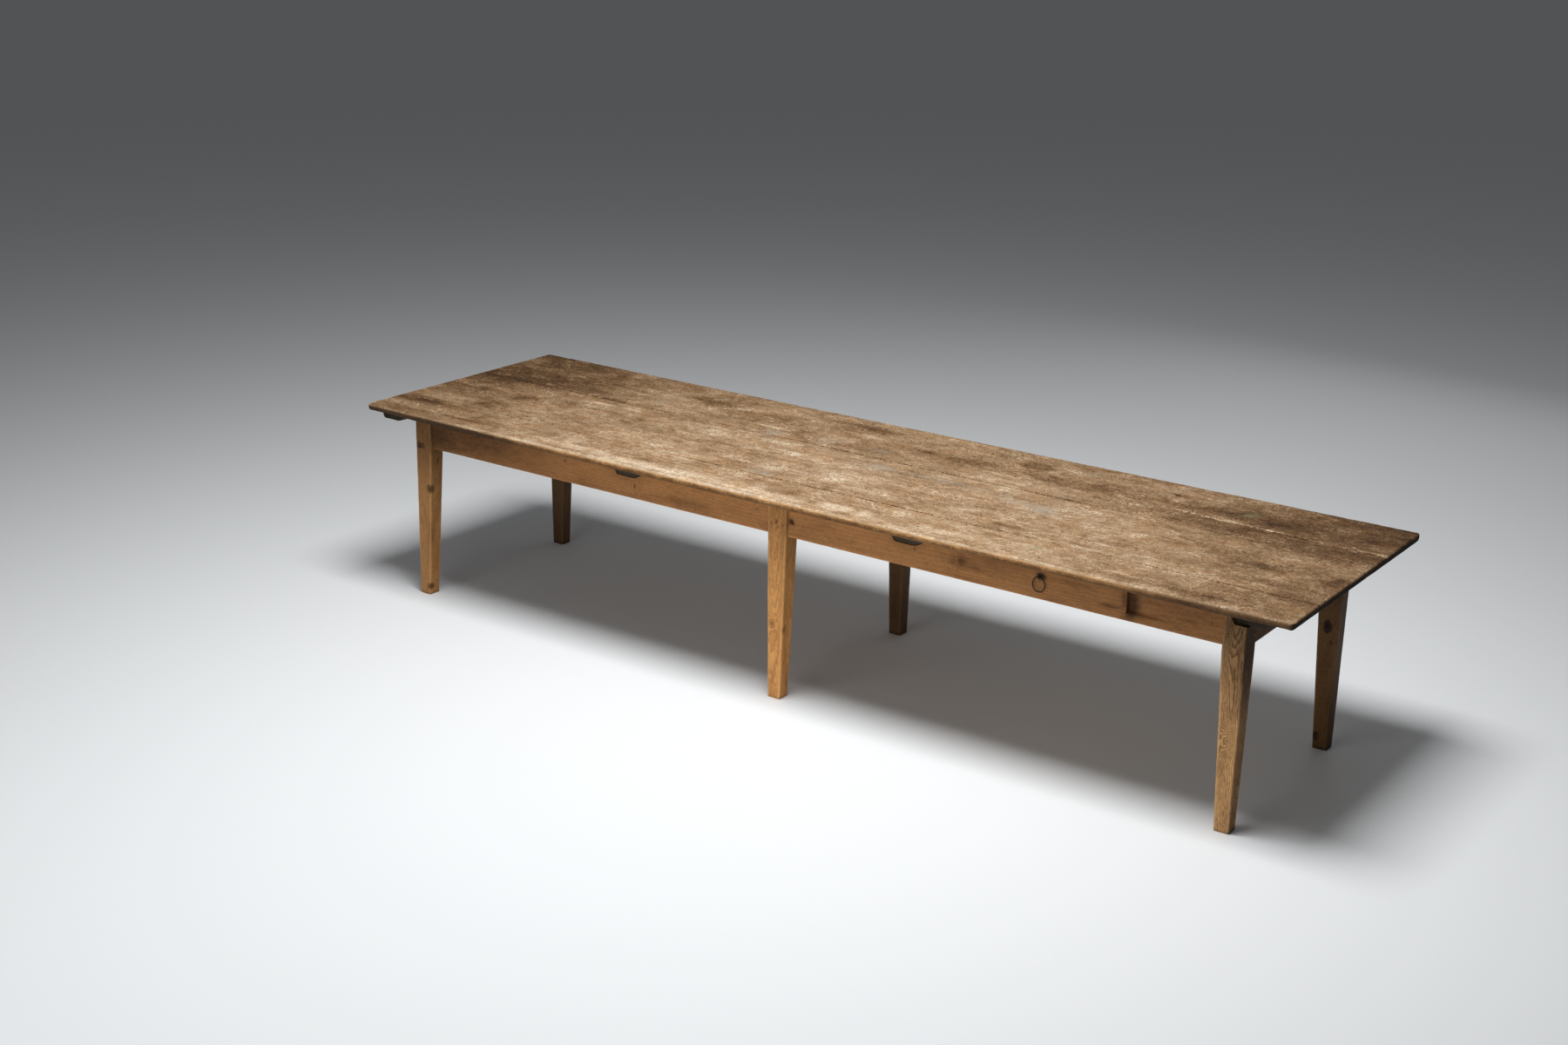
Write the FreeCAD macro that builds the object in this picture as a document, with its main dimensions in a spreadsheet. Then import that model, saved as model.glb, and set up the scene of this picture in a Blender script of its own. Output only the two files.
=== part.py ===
import FreeCAD
import Part
import Sketcher

import os

# Refectory table: three loose boards with four battens, on a six-legged pegged frame with one drawer.
# The origin is on the floor below the middle of the top. X runs along the table, to the right for
# somebody facing the drawer, Y runs to the back and Z up. Lengths are in millimetres.

SIZES = {
    # The top and its boards, whose seams run a little askew
    "table_height": 760,
    "top_length": 3934,
    "top_width": 1096,
    "top_thickness": 29,
    "left_corner_radius": 12,
    "right_corner_radius": 26,
    "top_edge_radius": 4,
    "front_board_left_width": 224,
    "front_board_right_width": 198,
    "middle_board_left_width": 448,
    "middle_board_right_width": 452,
    "board_gap": 0.8,
    # Battens across the underside, with the lower corners hewn off unevenly
    "left_end_batten_inset": 108,
    "left_batten_share": 0.33655,
    "right_batten_share": 0.64692,
    "right_end_batten_inset": 147,
    "batten_back_inset": 92,
    "batten_width": 126,
    "batten_thickness": 32,
    "batten_left_bevel": 12,
    "batten_left_edge": 18,
    "batten_right_bevel": 40,
    "batten_right_edge": 9,
    "batten_recess": 4,
    "batten_clearance": 0.8,
    # Screws driven up through the battens
    "screw_diameter": 5,
    "screw_length": 50,
    "screw_head_diameter": 10,
    "screw_head_height": 4,
    "screw_sink": 2,
    "screw_clearance": 0.15,
    # The frame, which stands off-centre below the top
    "left_overhang": 239,
    "right_overhang": 154,
    "front_overhang": 30,
    "back_overhang": 206,
    "leg_width": 82,
    "leg_depth": 71,
    "leg_foot": 54,
    "leg_collar": 18,
    "apron_height": 111,
    "apron_thickness": 30,
    "apron_setback": 10,
    # Pegged mortise and tenon joints
    "tenon_length": 34,
    "tenon_thickness": 12,
    "tenon_height": 57,
    "tenon_shoulder": 12,
    "mortise_room": 2,
    "mortise_clearance": 0.2,
    "peg_diameter": 13,
    "peg_length": 44,
    "cross_peg_length": 54,
    "peg_clearance": 0.1,
    # The drawer opening in the right front apron, and the worn hollow beside it
    "drawer_place_share": 0.6085,
    "drawer_opening": 624,
    "rail_height": 25,
    "hollow_length": 172,
    "hollow_depth": 14,
    # The drawer
    "drawer_gap": 1.5,
    "drawer_top_gap": 3,
    "running_gap": 0.3,
    "drawer_depth": 560,
    "drawer_front_thickness": 22,
    "drawer_side_thickness": 13,
    "drawer_back_thickness": 13,
    "drawer_back_inset": 12,
    "drawer_back_drop": 8,
    "drawer_bottom_thickness": 8,
    "drawer_bottom_lift": 8,
    "groove_depth": 5,
    "groove_clearance": 0.2,
    "tail_length": 15,
    "tail_root_height": 14,
    "tail_flare": 2.5,
    "nail_diameter": 2.4,
    "nail_length": 26,
    "nail_head_diameter": 5.5,
    "nail_head_height": 1.2,
    "nail_clearance": 0.05,
    # Runners that carry the drawer between the front and back aprons, and the stops on them
    "runner_lip": 8,
    "runner_height": 22,
    "guide_thickness": 16,
    "guide_height": 40,
    "guide_gap": 1,
    "stub_length": 10,
    "stub_height": 12,
    "stop_length": 22,
    "stop_height": 16,
    # The iron ring pull
    "pull_height": 54,
    "ring_diameter": 56,
    "ring_wire": 4.4,
    "ring_play": 0.3,
    "eye_wire": 3,
    "eye_play": 0.6,
    "plate_diameter": 20,
    "plate_thickness": 1.2,
    "leg_split": 0.4,
    "clench_length": 12,
    "staple_clearance": 0.2,
    # How far every cut runs past the face that it opens
    "overrun": 2,
}

PLACES = {
    "underside": "sizes.table_height - sizes.top_thickness",
    "batten_bottom": "underside - sizes.batten_thickness",
    "apron_bottom": "underside - sizes.apron_height",
    "tenon_bottom": "apron_bottom + sizes.tenon_shoulder",
    "tenon_inset": "(sizes.apron_thickness - sizes.tenon_thickness) / 2",
    "peg_level": "tenon_bottom + sizes.tenon_height / 2",
    "taper_top": "apron_bottom - sizes.leg_collar",
    # Low corners of the legs, by column along X and by row along Y
    "left_leg": "sizes.left_overhang - sizes.top_length / 2",
    "right_leg": "sizes.top_length / 2 - sizes.right_overhang - sizes.leg_width",
    "middle_leg": "(left_leg + right_leg) / 2",
    "front_leg": "sizes.front_overhang - sizes.top_width / 2",
    "back_leg": "sizes.top_width / 2 - sizes.back_overhang - sizes.leg_depth",
    "base_width": "back_leg + sizes.leg_depth - front_leg",
    # Low faces of the aprons across their thickness
    "front_face": "front_leg + sizes.apron_setback",
    "back_face": "back_leg + sizes.leg_depth - sizes.apron_setback - sizes.apron_thickness",
    "left_face": "left_leg + sizes.apron_setback",
    "right_face": "right_leg + sizes.leg_width - sizes.apron_setback - sizes.apron_thickness",
    "cross_face": "middle_leg + (sizes.leg_width - sizes.apron_thickness) / 2",
    # Middles of the battens along X, and their front ends and length
    "left_end_batten": "sizes.left_end_batten_inset - sizes.top_length / 2",
    "left_batten": "(sizes.left_batten_share - 1 / 2) * sizes.top_length",
    "right_batten": "(sizes.right_batten_share - 1 / 2) * sizes.top_length",
    "right_end_batten": "sizes.top_length / 2 - sizes.right_end_batten_inset",
    "batten_front": "front_face + sizes.batten_recess",
    "batten_length": "sizes.top_width / 2 - sizes.batten_back_inset - batten_front",
    "screw_line": "(sizes.batten_left_bevel - sizes.batten_right_bevel) / 2",
    # The drawer and what it runs on
    "rail_top": "apron_bottom + sizes.rail_height",
    "right_bay": "right_leg - middle_leg - sizes.leg_width",
    "drawer_middle": "right_leg - (1 - sizes.drawer_place_share) * right_bay",
    "opening_left": "drawer_middle - sizes.drawer_opening / 2",
    "opening_right": "drawer_middle + sizes.drawer_opening / 2",
    "drawer_left": "opening_left + sizes.drawer_gap",
    "drawer_right": "opening_right - sizes.drawer_gap",
    "drawer_low": "rail_top + sizes.running_gap",
    "drawer_high": "underside - sizes.drawer_top_gap",
    "front_back": "front_face + sizes.drawer_front_thickness",
    "inner_left": "drawer_left + sizes.drawer_side_thickness",
    "inner_right": "drawer_right - sizes.drawer_side_thickness",
    "side_end": "front_face + sizes.drawer_depth",
    "back_front": "side_end - sizes.drawer_back_inset - sizes.drawer_back_thickness",
    "bottom_low": "drawer_low + sizes.drawer_bottom_lift",
    "bottom_high": "bottom_low + sizes.drawer_bottom_thickness",
    "runner_front": "front_face + sizes.apron_thickness",
    "runner_low": "rail_top - sizes.runner_height",
    "stub_low": "runner_low + (sizes.runner_height - sizes.stub_height) / 2",
    # The staple's eye stands just clear of its plate, and the ring hangs in the eye
    "eye_radius": "sizes.ring_wire / 2 + sizes.eye_play + sizes.eye_wire / 2",
    "eye_level": "drawer_low + sizes.pull_height",
    "eye_front": "front_face - sizes.plate_thickness - eye_radius - sizes.eye_wire / 2",
    "leg_offset": "(sizes.eye_wire + sizes.leg_split) / 2",
    "clench_line": "front_back + sizes.eye_wire / 2 + sizes.staple_clearance",
    "staple_hole": "leg_offset + sizes.eye_wire / 2 + sizes.staple_clearance",
    "ring_radius": "(sizes.ring_diameter - sizes.ring_wire) / 2",
    "ring_pivot": "eye_level - sizes.eye_play + sizes.ring_play",
}

# Places of a batten's screws along it: one in the front board, three in the middle one, two in the back one
SCREW_SHARES = (0.08, 0.30, 0.45, 0.57, 0.75, 0.93)
# Tails of the drawer's dovetails and nails of its bottom, as shares of the height and of the width
TAIL_SHARES = (0.18, 0.5, 0.82)
NAIL_SHARES = (0.15, 0.5, 0.85)

TO_BACK = FreeCAD.Rotation(FreeCAD.Vector(1, 0, 0), -90)
TO_FRONT = FreeCAD.Rotation(FreeCAD.Vector(1, 0, 0), 90)
TO_RIGHT = FreeCAD.Rotation(FreeCAD.Vector(0, 1, 0), 90)
TO_LEFT = FreeCAD.Rotation(FreeCAD.Vector(0, 1, 0), -90)
UP = FreeCAD.Rotation()
DOWN = FreeCAD.Rotation(FreeCAD.Vector(1, 0, 0), 180)

doc = FreeCAD.newDocument("refectory_table")
nodes = []


def fill_sheet(name, cells, lead):
    """A sheet with one named cell a row, each value led by the given text."""
    sheet = doc.addObject("Spreadsheet::Sheet", name)
    for row, (alias, value) in enumerate(cells.items(), 1):
        sheet.set(f"A{row}", alias)
        sheet.set(f"B{row}", f"{lead}{value}")
        sheet.setAlias(f"B{row}", alias)
    doc.recompute()
    return sheet


sizes = fill_sheet("sizes", SIZES, "")
places = fill_sheet("places", PLACES, "=")


def value(formula):
    """What a sheet formula comes to now."""
    return float(sizes.evalExpression(formula))


def bind(item, formulas):
    """Tie properties of an object to sheet formulas."""
    for name, formula in formulas.items():
        item.setExpression(name, formula)
    return item


def put(item, low, turn=UP):
    """Turn an object and tie its place to three sheet formulas."""
    item.Placement = FreeCAD.Placement(FreeCAD.Vector(), turn)
    return bind(item, {f"Placement.Base.{axis}": formula for axis, formula in zip("xyz", low)})


def keep(item):
    """Count an object as a sub-part of the table."""
    nodes.append(item)
    return item


def block(name, low, size):
    """A box from its low corner and its three sizes."""
    box = bind(doc.addObject("Part::Box", name), dict(zip(("Length", "Width", "Height"), size)))
    return put(box, low)


def rod(name, start, radius, length, turn=UP):
    """A round bar from the middle of its first end."""
    bar = bind(doc.addObject("Part::Cylinder", name), {"Radius": radius, "Height": length})
    return put(bar, start, turn)


def fuse(name, pieces):
    whole = doc.addObject("Part::MultiFuse", name)
    whole.Shapes = pieces
    return whole


def cut(name, base, tools):
    rest = doc.addObject("Part::Cut", name)
    rest.Base = base
    rest.Tool = fuse(f"{name}_cuts", tools) if len(tools) > 1 else tools[0]
    return rest


def group(name, pieces):
    """Like pieces that share a node as separate solids."""
    whole = doc.addObject("Part::Compound", name)
    whole.Links = pieces
    return keep(whole)


def prism(name, plane, corners, height, reverse=False):
    """A body padded from a straight-sided sketch whose corners are pairs of sheet formulas."""
    body = doc.addObject("PartDesign::Body", name)
    sketch = body.newObject("Sketcher::SketchObject", f"{name}_outline")
    support = [part for part in body.Origin.OriginFeatures if part.Role == plane]
    sketch.AttachmentSupport = [(support[0], "")]
    sketch.MapMode = "FlatFace"
    points = [FreeCAD.Vector(value(across), value(up), 0) for across, up in corners]
    for i, point in enumerate(points):
        sketch.addGeometry(Part.LineSegment(point, points[(i + 1) % len(points)]))
    for i, formulas in enumerate(corners):
        sketch.addConstraint(Sketcher.Constraint("Coincident", i, 2, (i + 1) % len(corners), 1))
        for kind, formula in zip(("DistanceX", "DistanceY"), formulas):
            number = sketch.addConstraint(Sketcher.Constraint(kind, -1, 1, i, 1, value(formula)))
            sketch.setExpression(f"Constraints[{number}]", formula)
    pad = body.newObject("PartDesign::Pad", f"{name}_pad")
    pad.Profile = sketch
    pad.Reversed = reverse
    bind(pad, {"Length": height})
    doc.recompute()
    return body


def round_edges(body, chosen, radius):
    """A fillet on the edges of a body that the given test picks."""
    edges = [f"Edge{i}" for i, edge in enumerate(body.Tip.Shape.Edges, 1) if chosen(edge)]
    base = body.Tip
    fillet = body.newObject("PartDesign::Fillet", f"{base.Name}_round")
    fillet.Base = (base, edges)
    bind(fillet, {"Radius": radius})
    doc.recompute()


# Battens, the notches that the frame has for them, and their screws

BATTENS = ("left_end", "left", "right", "right_end")


def batten_section(clearance, rise):
    """Corners of a batten's section seen from the front, with its top at zero."""
    left = f"-sizes.batten_width / 2 - {clearance}"
    right = f"sizes.batten_width / 2 + {clearance}"
    low = f"-sizes.batten_thickness - {clearance}"
    return [
        (left, rise),
        (left, "-sizes.batten_left_edge"),
        ("-sizes.batten_width / 2 + sizes.batten_left_bevel", low),
        ("sizes.batten_width / 2 - sizes.batten_right_bevel", low),
        (right, "-sizes.batten_right_edge"),
        (right, rise),
    ]


def batten_notch(side):
    """The cut that a batten takes out of the frame's upper edges, from front to back."""
    notch = prism(
        f"{side}_notch",
        "XZ_Plane",
        batten_section("sizes.batten_clearance", "sizes.overrun"),
        "places.base_width + 2 * sizes.overrun",
        reverse=True,
    )
    front = "places.front_leg - sizes.overrun"
    return put(notch, (f"places.{side}_batten", front, "places.underside"))


def screw(name, x, y, room, entry):
    """A screw, or the hole for one where room is a clearance and entry leads the head in."""
    low = f"places.batten_bottom + sizes.screw_sink - {entry}"
    head = rod(
        f"{name}_head",
        (x, y, low),
        f"sizes.screw_head_diameter / 2 + {room}",
        f"sizes.screw_head_height + {entry} + {room}",
    )
    shank = rod(
        f"{name}_shank",
        (x, y, low),
        f"sizes.screw_diameter / 2 + {room}",
        f"sizes.screw_length + {entry} + {room}",
    )
    return fuse(name, [head, shank])


notches = {side: batten_notch(side) for side in BATTENS[1:]}
screws = []
screw_holes = {}
for side in BATTENS:
    section = batten_section("0", "0")
    plain = prism(f"{side}_batten_plain", "XZ_Plane", section, "places.batten_length", reverse=True)
    put(plain, (f"places.{side}_batten", "places.batten_front", "places.underside"))
    screw_holes[side] = []
    for i, share in enumerate(SCREW_SHARES):
        x = f"places.{side}_batten + places.screw_line"
        y = f"places.batten_front + {share} * places.batten_length"
        screws.append(screw(f"{side}_screw_{i}", x, y, "0", "0"))
        entry = "sizes.screw_sink + sizes.overrun"
        screw_holes[side].append(screw(f"{side}_screw_hole_{i}", x, y, "sizes.screw_clearance", entry))
    keep(cut(f"{side}_batten", plain, screw_holes[side]))
group("batten_screws", screws)

# The three boards of the top, each between two seams given by their distance from the front edge

LEFT = "-sizes.top_length / 2"
RIGHT = "sizes.top_length / 2"
FRONT = "-sizes.top_width / 2"
HALF_GAP = "sizes.board_gap / 2"
FIRST_SEAM = ("sizes.front_board_left_width", "sizes.front_board_right_width")
SECOND_SEAM = (
    "sizes.front_board_left_width + sizes.middle_board_left_width",
    "sizes.front_board_right_width + sizes.middle_board_right_width",
)
BOARDS = {
    "front_board": (("0", "0"), "0", FIRST_SEAM, HALF_GAP),
    "middle_board": (FIRST_SEAM, HALF_GAP, SECOND_SEAM, HALF_GAP),
    "back_board": (SECOND_SEAM, HALF_GAP, ("sizes.top_width", "sizes.top_width"), "0"),
}


def at_corner(edge, side):
    """True for an upright edge at an outer corner of the top, on the left where side is -1."""
    middle = edge.CenterOfMass
    upright = edge.BoundBox.ZLength > value("sizes.top_thickness") / 2
    across = abs(middle.y) > value("(sizes.top_width - sizes.right_corner_radius) / 2")
    return upright and across and middle.x * side > 0


def at_rim(edge):
    """True for a level edge of the upper face that isn't beside a seam."""
    middle = edge.CenterOfMass
    upper = edge.BoundBox.ZMin > value("sizes.top_thickness") / 2
    at_end = abs(middle.x) > value("(sizes.top_length - sizes.right_corner_radius) / 2")
    at_side = abs(middle.y) > value("(sizes.top_width - sizes.right_corner_radius) / 2")
    return upper and (at_end or at_side)


all_screw_holes = [hole for side in BATTENS for hole in screw_holes[side]]
for name, (near, near_gap, far, far_gap) in BOARDS.items():
    corners = [
        (LEFT, f"{FRONT} + {near[0]} + {near_gap}"),
        (RIGHT, f"{FRONT} + {near[1]} + {near_gap}"),
        (RIGHT, f"{FRONT} + {far[1]} - {far_gap}"),
        (LEFT, f"{FRONT} + {far[0]} - {far_gap}"),
    ]
    board = prism(f"{name}_plain", "XY_Plane", corners, "sizes.top_thickness")
    if name != "middle_board":
        round_edges(board, lambda edge: at_corner(edge, -1), "sizes.left_corner_radius")
        round_edges(board, lambda edge: at_corner(edge, 1), "sizes.right_corner_radius")
    round_edges(board, at_rim, "sizes.top_edge_radius")
    put(board, ("0", "0", "places.underside"))
    keep(cut(name, board, all_screw_holes))

# Pegs and their holes: two joints in each row for a long apron, one for each end apron or cross rail

COLUMNS = ("left", "middle", "right")
ROWS = ("front", "back")
# For the way a peg is driven: its turn, the axis it lies along and the sign that leads out of the wood
PEG_WAYS = {
    "back": (TO_BACK, 1, "-"),
    "front": (TO_FRONT, 1, "+"),
    "right": (TO_RIGHT, 0, "-"),
    "left": (TO_LEFT, 0, "+"),
}
pegs = {}
peg_holes = {}


def peg(joint, x, y, way, length="sizes.peg_length"):
    """A peg driven into a leg's face, and its hole, which opens past that face."""
    turn, axis, outward = PEG_WAYS[way]
    start = [x, y, "places.peg_level"]
    pegs[joint] = rod(f"{joint}_peg", start, "sizes.peg_diameter / 2", length, turn)
    start[axis] += f" {outward} sizes.overrun"
    radius = "sizes.peg_diameter / 2 + sizes.peg_clearance"
    depth = f"{length} + sizes.overrun + sizes.peg_clearance"
    peg_holes[joint] = rod(f"{joint}_peg_hole", start, radius, depth, turn)


LEG_JOINTS = {
    "left": "places.left_leg + sizes.leg_width - sizes.tenon_length / 2",
    "middle_left": "places.middle_leg + sizes.tenon_length / 2",
    "middle_right": "places.middle_leg + sizes.leg_width - sizes.tenon_length / 2",
    "right": "places.right_leg + sizes.tenon_length / 2",
}
for joint, x in LEG_JOINTS.items():
    peg(f"front_{joint}", x, "places.front_leg", "back")
    peg(f"back_{joint}", x, "places.back_leg + sizes.leg_depth", "front")
for row, y in (
    ("front", "places.front_leg + sizes.leg_depth - sizes.tenon_length / 2"),
    ("back", "places.back_leg + sizes.tenon_length / 2"),
):
    peg(f"end_left_{row}", "places.left_leg", y, "right")
    peg(f"end_middle_{row}", "places.middle_leg", y, "right", "sizes.cross_peg_length")
    peg(f"end_right_{row}", "places.right_leg + sizes.leg_width", y, "left")
for row in ROWS:
    group(f"{row}_pegs", [pegs[f"{row}_{joint}"] for joint in LEG_JOINTS])
group("end_apron_pegs", [pegs[f"end_{column}_{row}"] for column in ("left", "right") for row in ROWS])
group("cross_rail_pegs", [pegs[f"end_middle_{row}"] for row in ROWS])

# Legs: a square block with mortises over a tapered shaft whose outer faces are upright

MORTISE_DEPTH = "(sizes.tenon_length + sizes.mortise_room)"
FOOT_SHIFT = {
    "left": "0",
    "middle": "(sizes.leg_width - sizes.leg_foot) / 2",
    "right": "sizes.leg_width - sizes.leg_foot",
    "front": "sizes.leg_depth - sizes.leg_foot",
    "back": "0",
}
CROSS_FACES = {"left": "places.left_face", "middle": "places.cross_face", "right": "places.right_face"}


def mortise(name, low_x, low_y, size_x, size_y):
    """A tenon's room in a leg, with clearance above and below."""
    low = (low_x, low_y, "places.tenon_bottom - sizes.mortise_clearance")
    return block(name, low, (size_x, size_y, "sizes.tenon_height + 2 * sizes.mortise_clearance"))


def leg(column, row):
    name = f"{row}_{column}_leg"
    left = f"places.{column}_leg"
    front = f"places.{row}_leg"
    collar = block(
        f"{name}_block",
        (left, front, "places.taper_top"),
        ("sizes.leg_width", "sizes.leg_depth", "places.underside - places.taper_top"),
    )
    shaft = bind(doc.addObject("Part::Wedge", f"{name}_shaft"), {
        "Xmin": FOOT_SHIFT[column],
        "Xmax": f"{FOOT_SHIFT[column]} + sizes.leg_foot",
        "Zmin": FOOT_SHIFT[row],
        "Zmax": f"{FOOT_SHIFT[row]} + sizes.leg_foot",
        "Ymin": "0",
        "Ymax": "places.taper_top",
        "X2min": "0",
        "X2max": "sizes.leg_width",
        "Z2min": "0",
        "Z2max": "sizes.leg_depth",
    })
    put(shaft, (left, f"{front} + sizes.leg_depth", "0"), TO_FRONT)
    slot = "sizes.tenon_thickness + 2 * sizes.mortise_clearance"
    reach = f"{MORTISE_DEPTH} + sizes.overrun"
    apron_slot = f"places.{row}_face + places.tenon_inset - sizes.mortise_clearance"
    cross_slot = f"{CROSS_FACES[column]} + places.tenon_inset - sizes.mortise_clearance"
    cross_low = f"{front} - sizes.overrun"
    if row == "front":
        cross_low = f"{front} + sizes.leg_depth - {MORTISE_DEPTH}"
    cuts = [mortise(f"{name}_cross_mortise", cross_slot, cross_low, slot, reach)]
    cuts.append(peg_holes[f"end_{column}_{row}"])
    if column != "left":
        cuts.append(mortise(f"{name}_left_mortise", f"{left} - sizes.overrun", apron_slot, reach, slot))
    if column != "right":
        inner = f"{left} + sizes.leg_width - {MORTISE_DEPTH}"
        cuts.append(mortise(f"{name}_right_mortise", inner, apron_slot, reach, slot))
    cuts += [hole for joint, hole in peg_holes.items() if joint.startswith(f"{row}_{column}")]
    if column == "right":
        cuts.append(notches["right_end"])
    keep(cut(name, fuse(f"{name}_plain", [collar, shaft]), cuts))


for column in COLUMNS:
    for row in ROWS:
        leg(column, row)

# Aprons: boards between the legs with a tenon at each end

LEFT_SPAN = ("places.left_leg + sizes.leg_width", "places.middle_leg")
RIGHT_SPAN = ("places.middle_leg + sizes.leg_width", "places.right_leg")
DEEP_SPAN = ("places.front_leg + sizes.leg_depth", "places.back_leg")


def apron(name, span, face, across, cuts):
    """A board along X, or along Y where across is true, with one bar inside it that makes both tenons."""
    start, end = span
    length = f"{end} - ({start})"
    board_low = (start, face, "places.apron_bottom")
    board_size = (length, "sizes.apron_thickness", "sizes.apron_height")
    bar_low = (f"{start} - sizes.tenon_length", f"{face} + places.tenon_inset", "places.tenon_bottom")
    bar_size = (f"{length} + 2 * sizes.tenon_length", "sizes.tenon_thickness", "sizes.tenon_height")
    if across:
        board_low, board_size, bar_low, bar_size = (
            (second, first, third) for first, second, third in (board_low, board_size, bar_low, bar_size)
        )
    board = block(f"{name}_board", board_low, board_size)
    bar = block(f"{name}_bar", bar_low, bar_size)
    keep(cut(name, fuse(f"{name}_plain", [board, bar]), cuts))


LEDGE_WIDTH = "sizes.drawer_side_thickness + sizes.runner_lip"
RUNNER_WIDTH = f"(sizes.guide_thickness + sizes.guide_gap + {LEDGE_WIDTH})"
RUNNER_LEFT = {
    "left": "places.drawer_left - sizes.guide_gap - sizes.guide_thickness",
    "right": "places.inner_right - sizes.runner_lip",
}


def stub_bar(name, side, room):
    """The bar whose ends are a runner's stub tenons, or their mortises where room is a clearance."""
    low = (
        f"{RUNNER_LEFT[side]} - {room}",
        f"places.runner_front - sizes.stub_length - {room}",
        f"places.stub_low - {room}",
    )
    return block(name, low, (
        f"{RUNNER_WIDTH} + 2 * {room}",
        f"places.back_face - places.runner_front + 2 * sizes.stub_length + 2 * {room}",
        f"sizes.stub_height + 2 * {room}",
    ))


stub_mortises = [
    stub_bar(f"{side}_stub_mortise", side, "sizes.mortise_clearance") for side in RUNNER_LEFT
]
opening = block(
    "drawer_opening",
    ("places.opening_left", "places.front_face - sizes.overrun", "places.rail_top"),
    (
        "sizes.drawer_opening",
        "sizes.apron_thickness + 2 * sizes.overrun",
        "places.underside - places.rail_top + sizes.overrun",
    ),
)
hollow = prism(
    "worn_hollow",
    "XY_Plane",
    [
        ("0", "-sizes.overrun"),
        ("sizes.hollow_length", "-sizes.overrun"),
        ("sizes.hollow_length", "0"),
        ("0", "sizes.hollow_depth"),
    ],
    "places.underside - places.rail_top + sizes.overrun",
)
put(hollow, ("places.opening_right", "places.front_face", "places.rail_top"))

for row in ROWS:
    holes = {joint: peg_holes[f"{row}_{joint}"] for joint in LEG_JOINTS}
    left_cuts = [notches["left"], holes["left"], holes["middle_left"]]
    right_cuts = [notches["right"], holes["middle_right"], holes["right"]] + stub_mortises
    if row == "front":
        right_cuts += [opening, hollow]
    apron(f"{row}_apron_left", LEFT_SPAN, f"places.{row}_face", False, left_cuts)
    apron(f"{row}_apron_right", RIGHT_SPAN, f"places.{row}_face", False, right_cuts)
for column, name in (("left", "left_end_apron"), ("middle", "cross_rail"), ("right", "right_end_apron")):
    cuts = [peg_holes[f"end_{column}_{row}"] for row in ROWS]
    if column == "right":
        cuts.append(notches["right_end"])
    apron(name, DEEP_SPAN, CROSS_FACES[column], True, cuts)

# Runners with guides, and the stops that they carry behind the drawer

RUN = "places.back_face - places.runner_front"
GUIDE_LEFT = {"left": RUNNER_LEFT["left"], "right": "places.drawer_right + sizes.guide_gap"}
LEDGE_LEFT = {"left": "places.drawer_left", "right": RUNNER_LEFT["right"]}
stops = []
for side in RUNNER_LEFT:
    ledge = block(
        f"{side}_runner_ledge",
        (RUNNER_LEFT[side], "places.runner_front", "places.runner_low"),
        (RUNNER_WIDTH, RUN, "sizes.runner_height"),
    )
    guide = block(
        f"{side}_runner_guide",
        (GUIDE_LEFT[side], "places.runner_front", "places.runner_low"),
        ("sizes.guide_thickness", RUN, "sizes.runner_height + sizes.guide_height"),
    )
    keep(fuse(f"{side}_runner", [ledge, guide, stub_bar(f"{side}_stubs", side, "0")]))
    stops.append(block(
        f"{side}_stop",
        (LEDGE_LEFT[side], "places.side_end + sizes.running_gap", "places.rail_top"),
        (LEDGE_WIDTH, "sizes.stop_length", "sizes.stop_height"),
    ))
group("drawer_stops", stops)

# The drawer: sides dovetailed into the front, a back housed in the sides and a bottom in grooves

SIDE_LEFT = {"left": "places.drawer_left", "right": "places.inner_right"}
SIDE_HEIGHT = "(places.drawer_high - places.drawer_low)"
INNER_WIDTH = "places.inner_right - places.inner_left"


def tail(name, side, share, room):
    """A dovetail that widens to the front, or its socket where room is a clearance."""
    middle = f"places.drawer_low + {share} * {SIDE_HEIGHT}"
    root = f"sizes.tail_root_height / 2 + {room}"
    tip = f"sizes.tail_root_height / 2 + sizes.tail_flare + {room}"
    return bind(doc.addObject("Part::Wedge", name), {
        "Xmin": f"{SIDE_LEFT[side]} - {room}",
        "Xmax": f"{SIDE_LEFT[side]} + sizes.drawer_side_thickness + {room}",
        "X2min": f"{SIDE_LEFT[side]} - {room}",
        "X2max": f"{SIDE_LEFT[side]} + sizes.drawer_side_thickness + {room}",
        "Ymin": f"places.front_back - sizes.tail_length - {room}",
        "Ymax": f"places.front_back + {room}",
        "Zmin": f"{middle} - ({tip})",
        "Zmax": f"{middle} + {tip}",
        "Z2min": f"{middle} - ({root})",
        "Z2max": f"{middle} + {root}",
    })


def bottom_board(name, room):
    """The drawer's bottom with its front tongue, or the grooves for it where room is a clearance."""
    low = f"places.bottom_low - {room}"
    thick = f"sizes.drawer_bottom_thickness + 2 * {room}"
    reach = f"sizes.groove_depth + {room}"
    length = "places.back_front + sizes.drawer_back_thickness - places.front_back"
    panel = block(
        f"{name}_panel",
        (f"places.inner_left - ({reach})", "places.front_back", low),
        (f"{INNER_WIDTH} + 2 * ({reach})", length, thick),
    )
    tongue = block(
        f"{name}_tongue",
        ("places.inner_left", f"places.front_back - ({reach})", low),
        (INNER_WIDTH, f"sizes.groove_depth + {reach}", thick),
    )
    return fuse(name, [panel, tongue])


def back_board(name, room):
    """The drawer's back, or its housings where room is a clearance."""
    reach = f"sizes.groove_depth + {room}"
    return block(
        name,
        (f"places.inner_left - ({reach})", f"places.back_front - {room}", "places.bottom_high"),
        (
            f"{INNER_WIDTH} + 2 * ({reach})",
            f"sizes.drawer_back_thickness + 2 * {room}",
            f"places.drawer_high - sizes.drawer_back_drop - places.bottom_high + {room}",
        ),
    )


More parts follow.
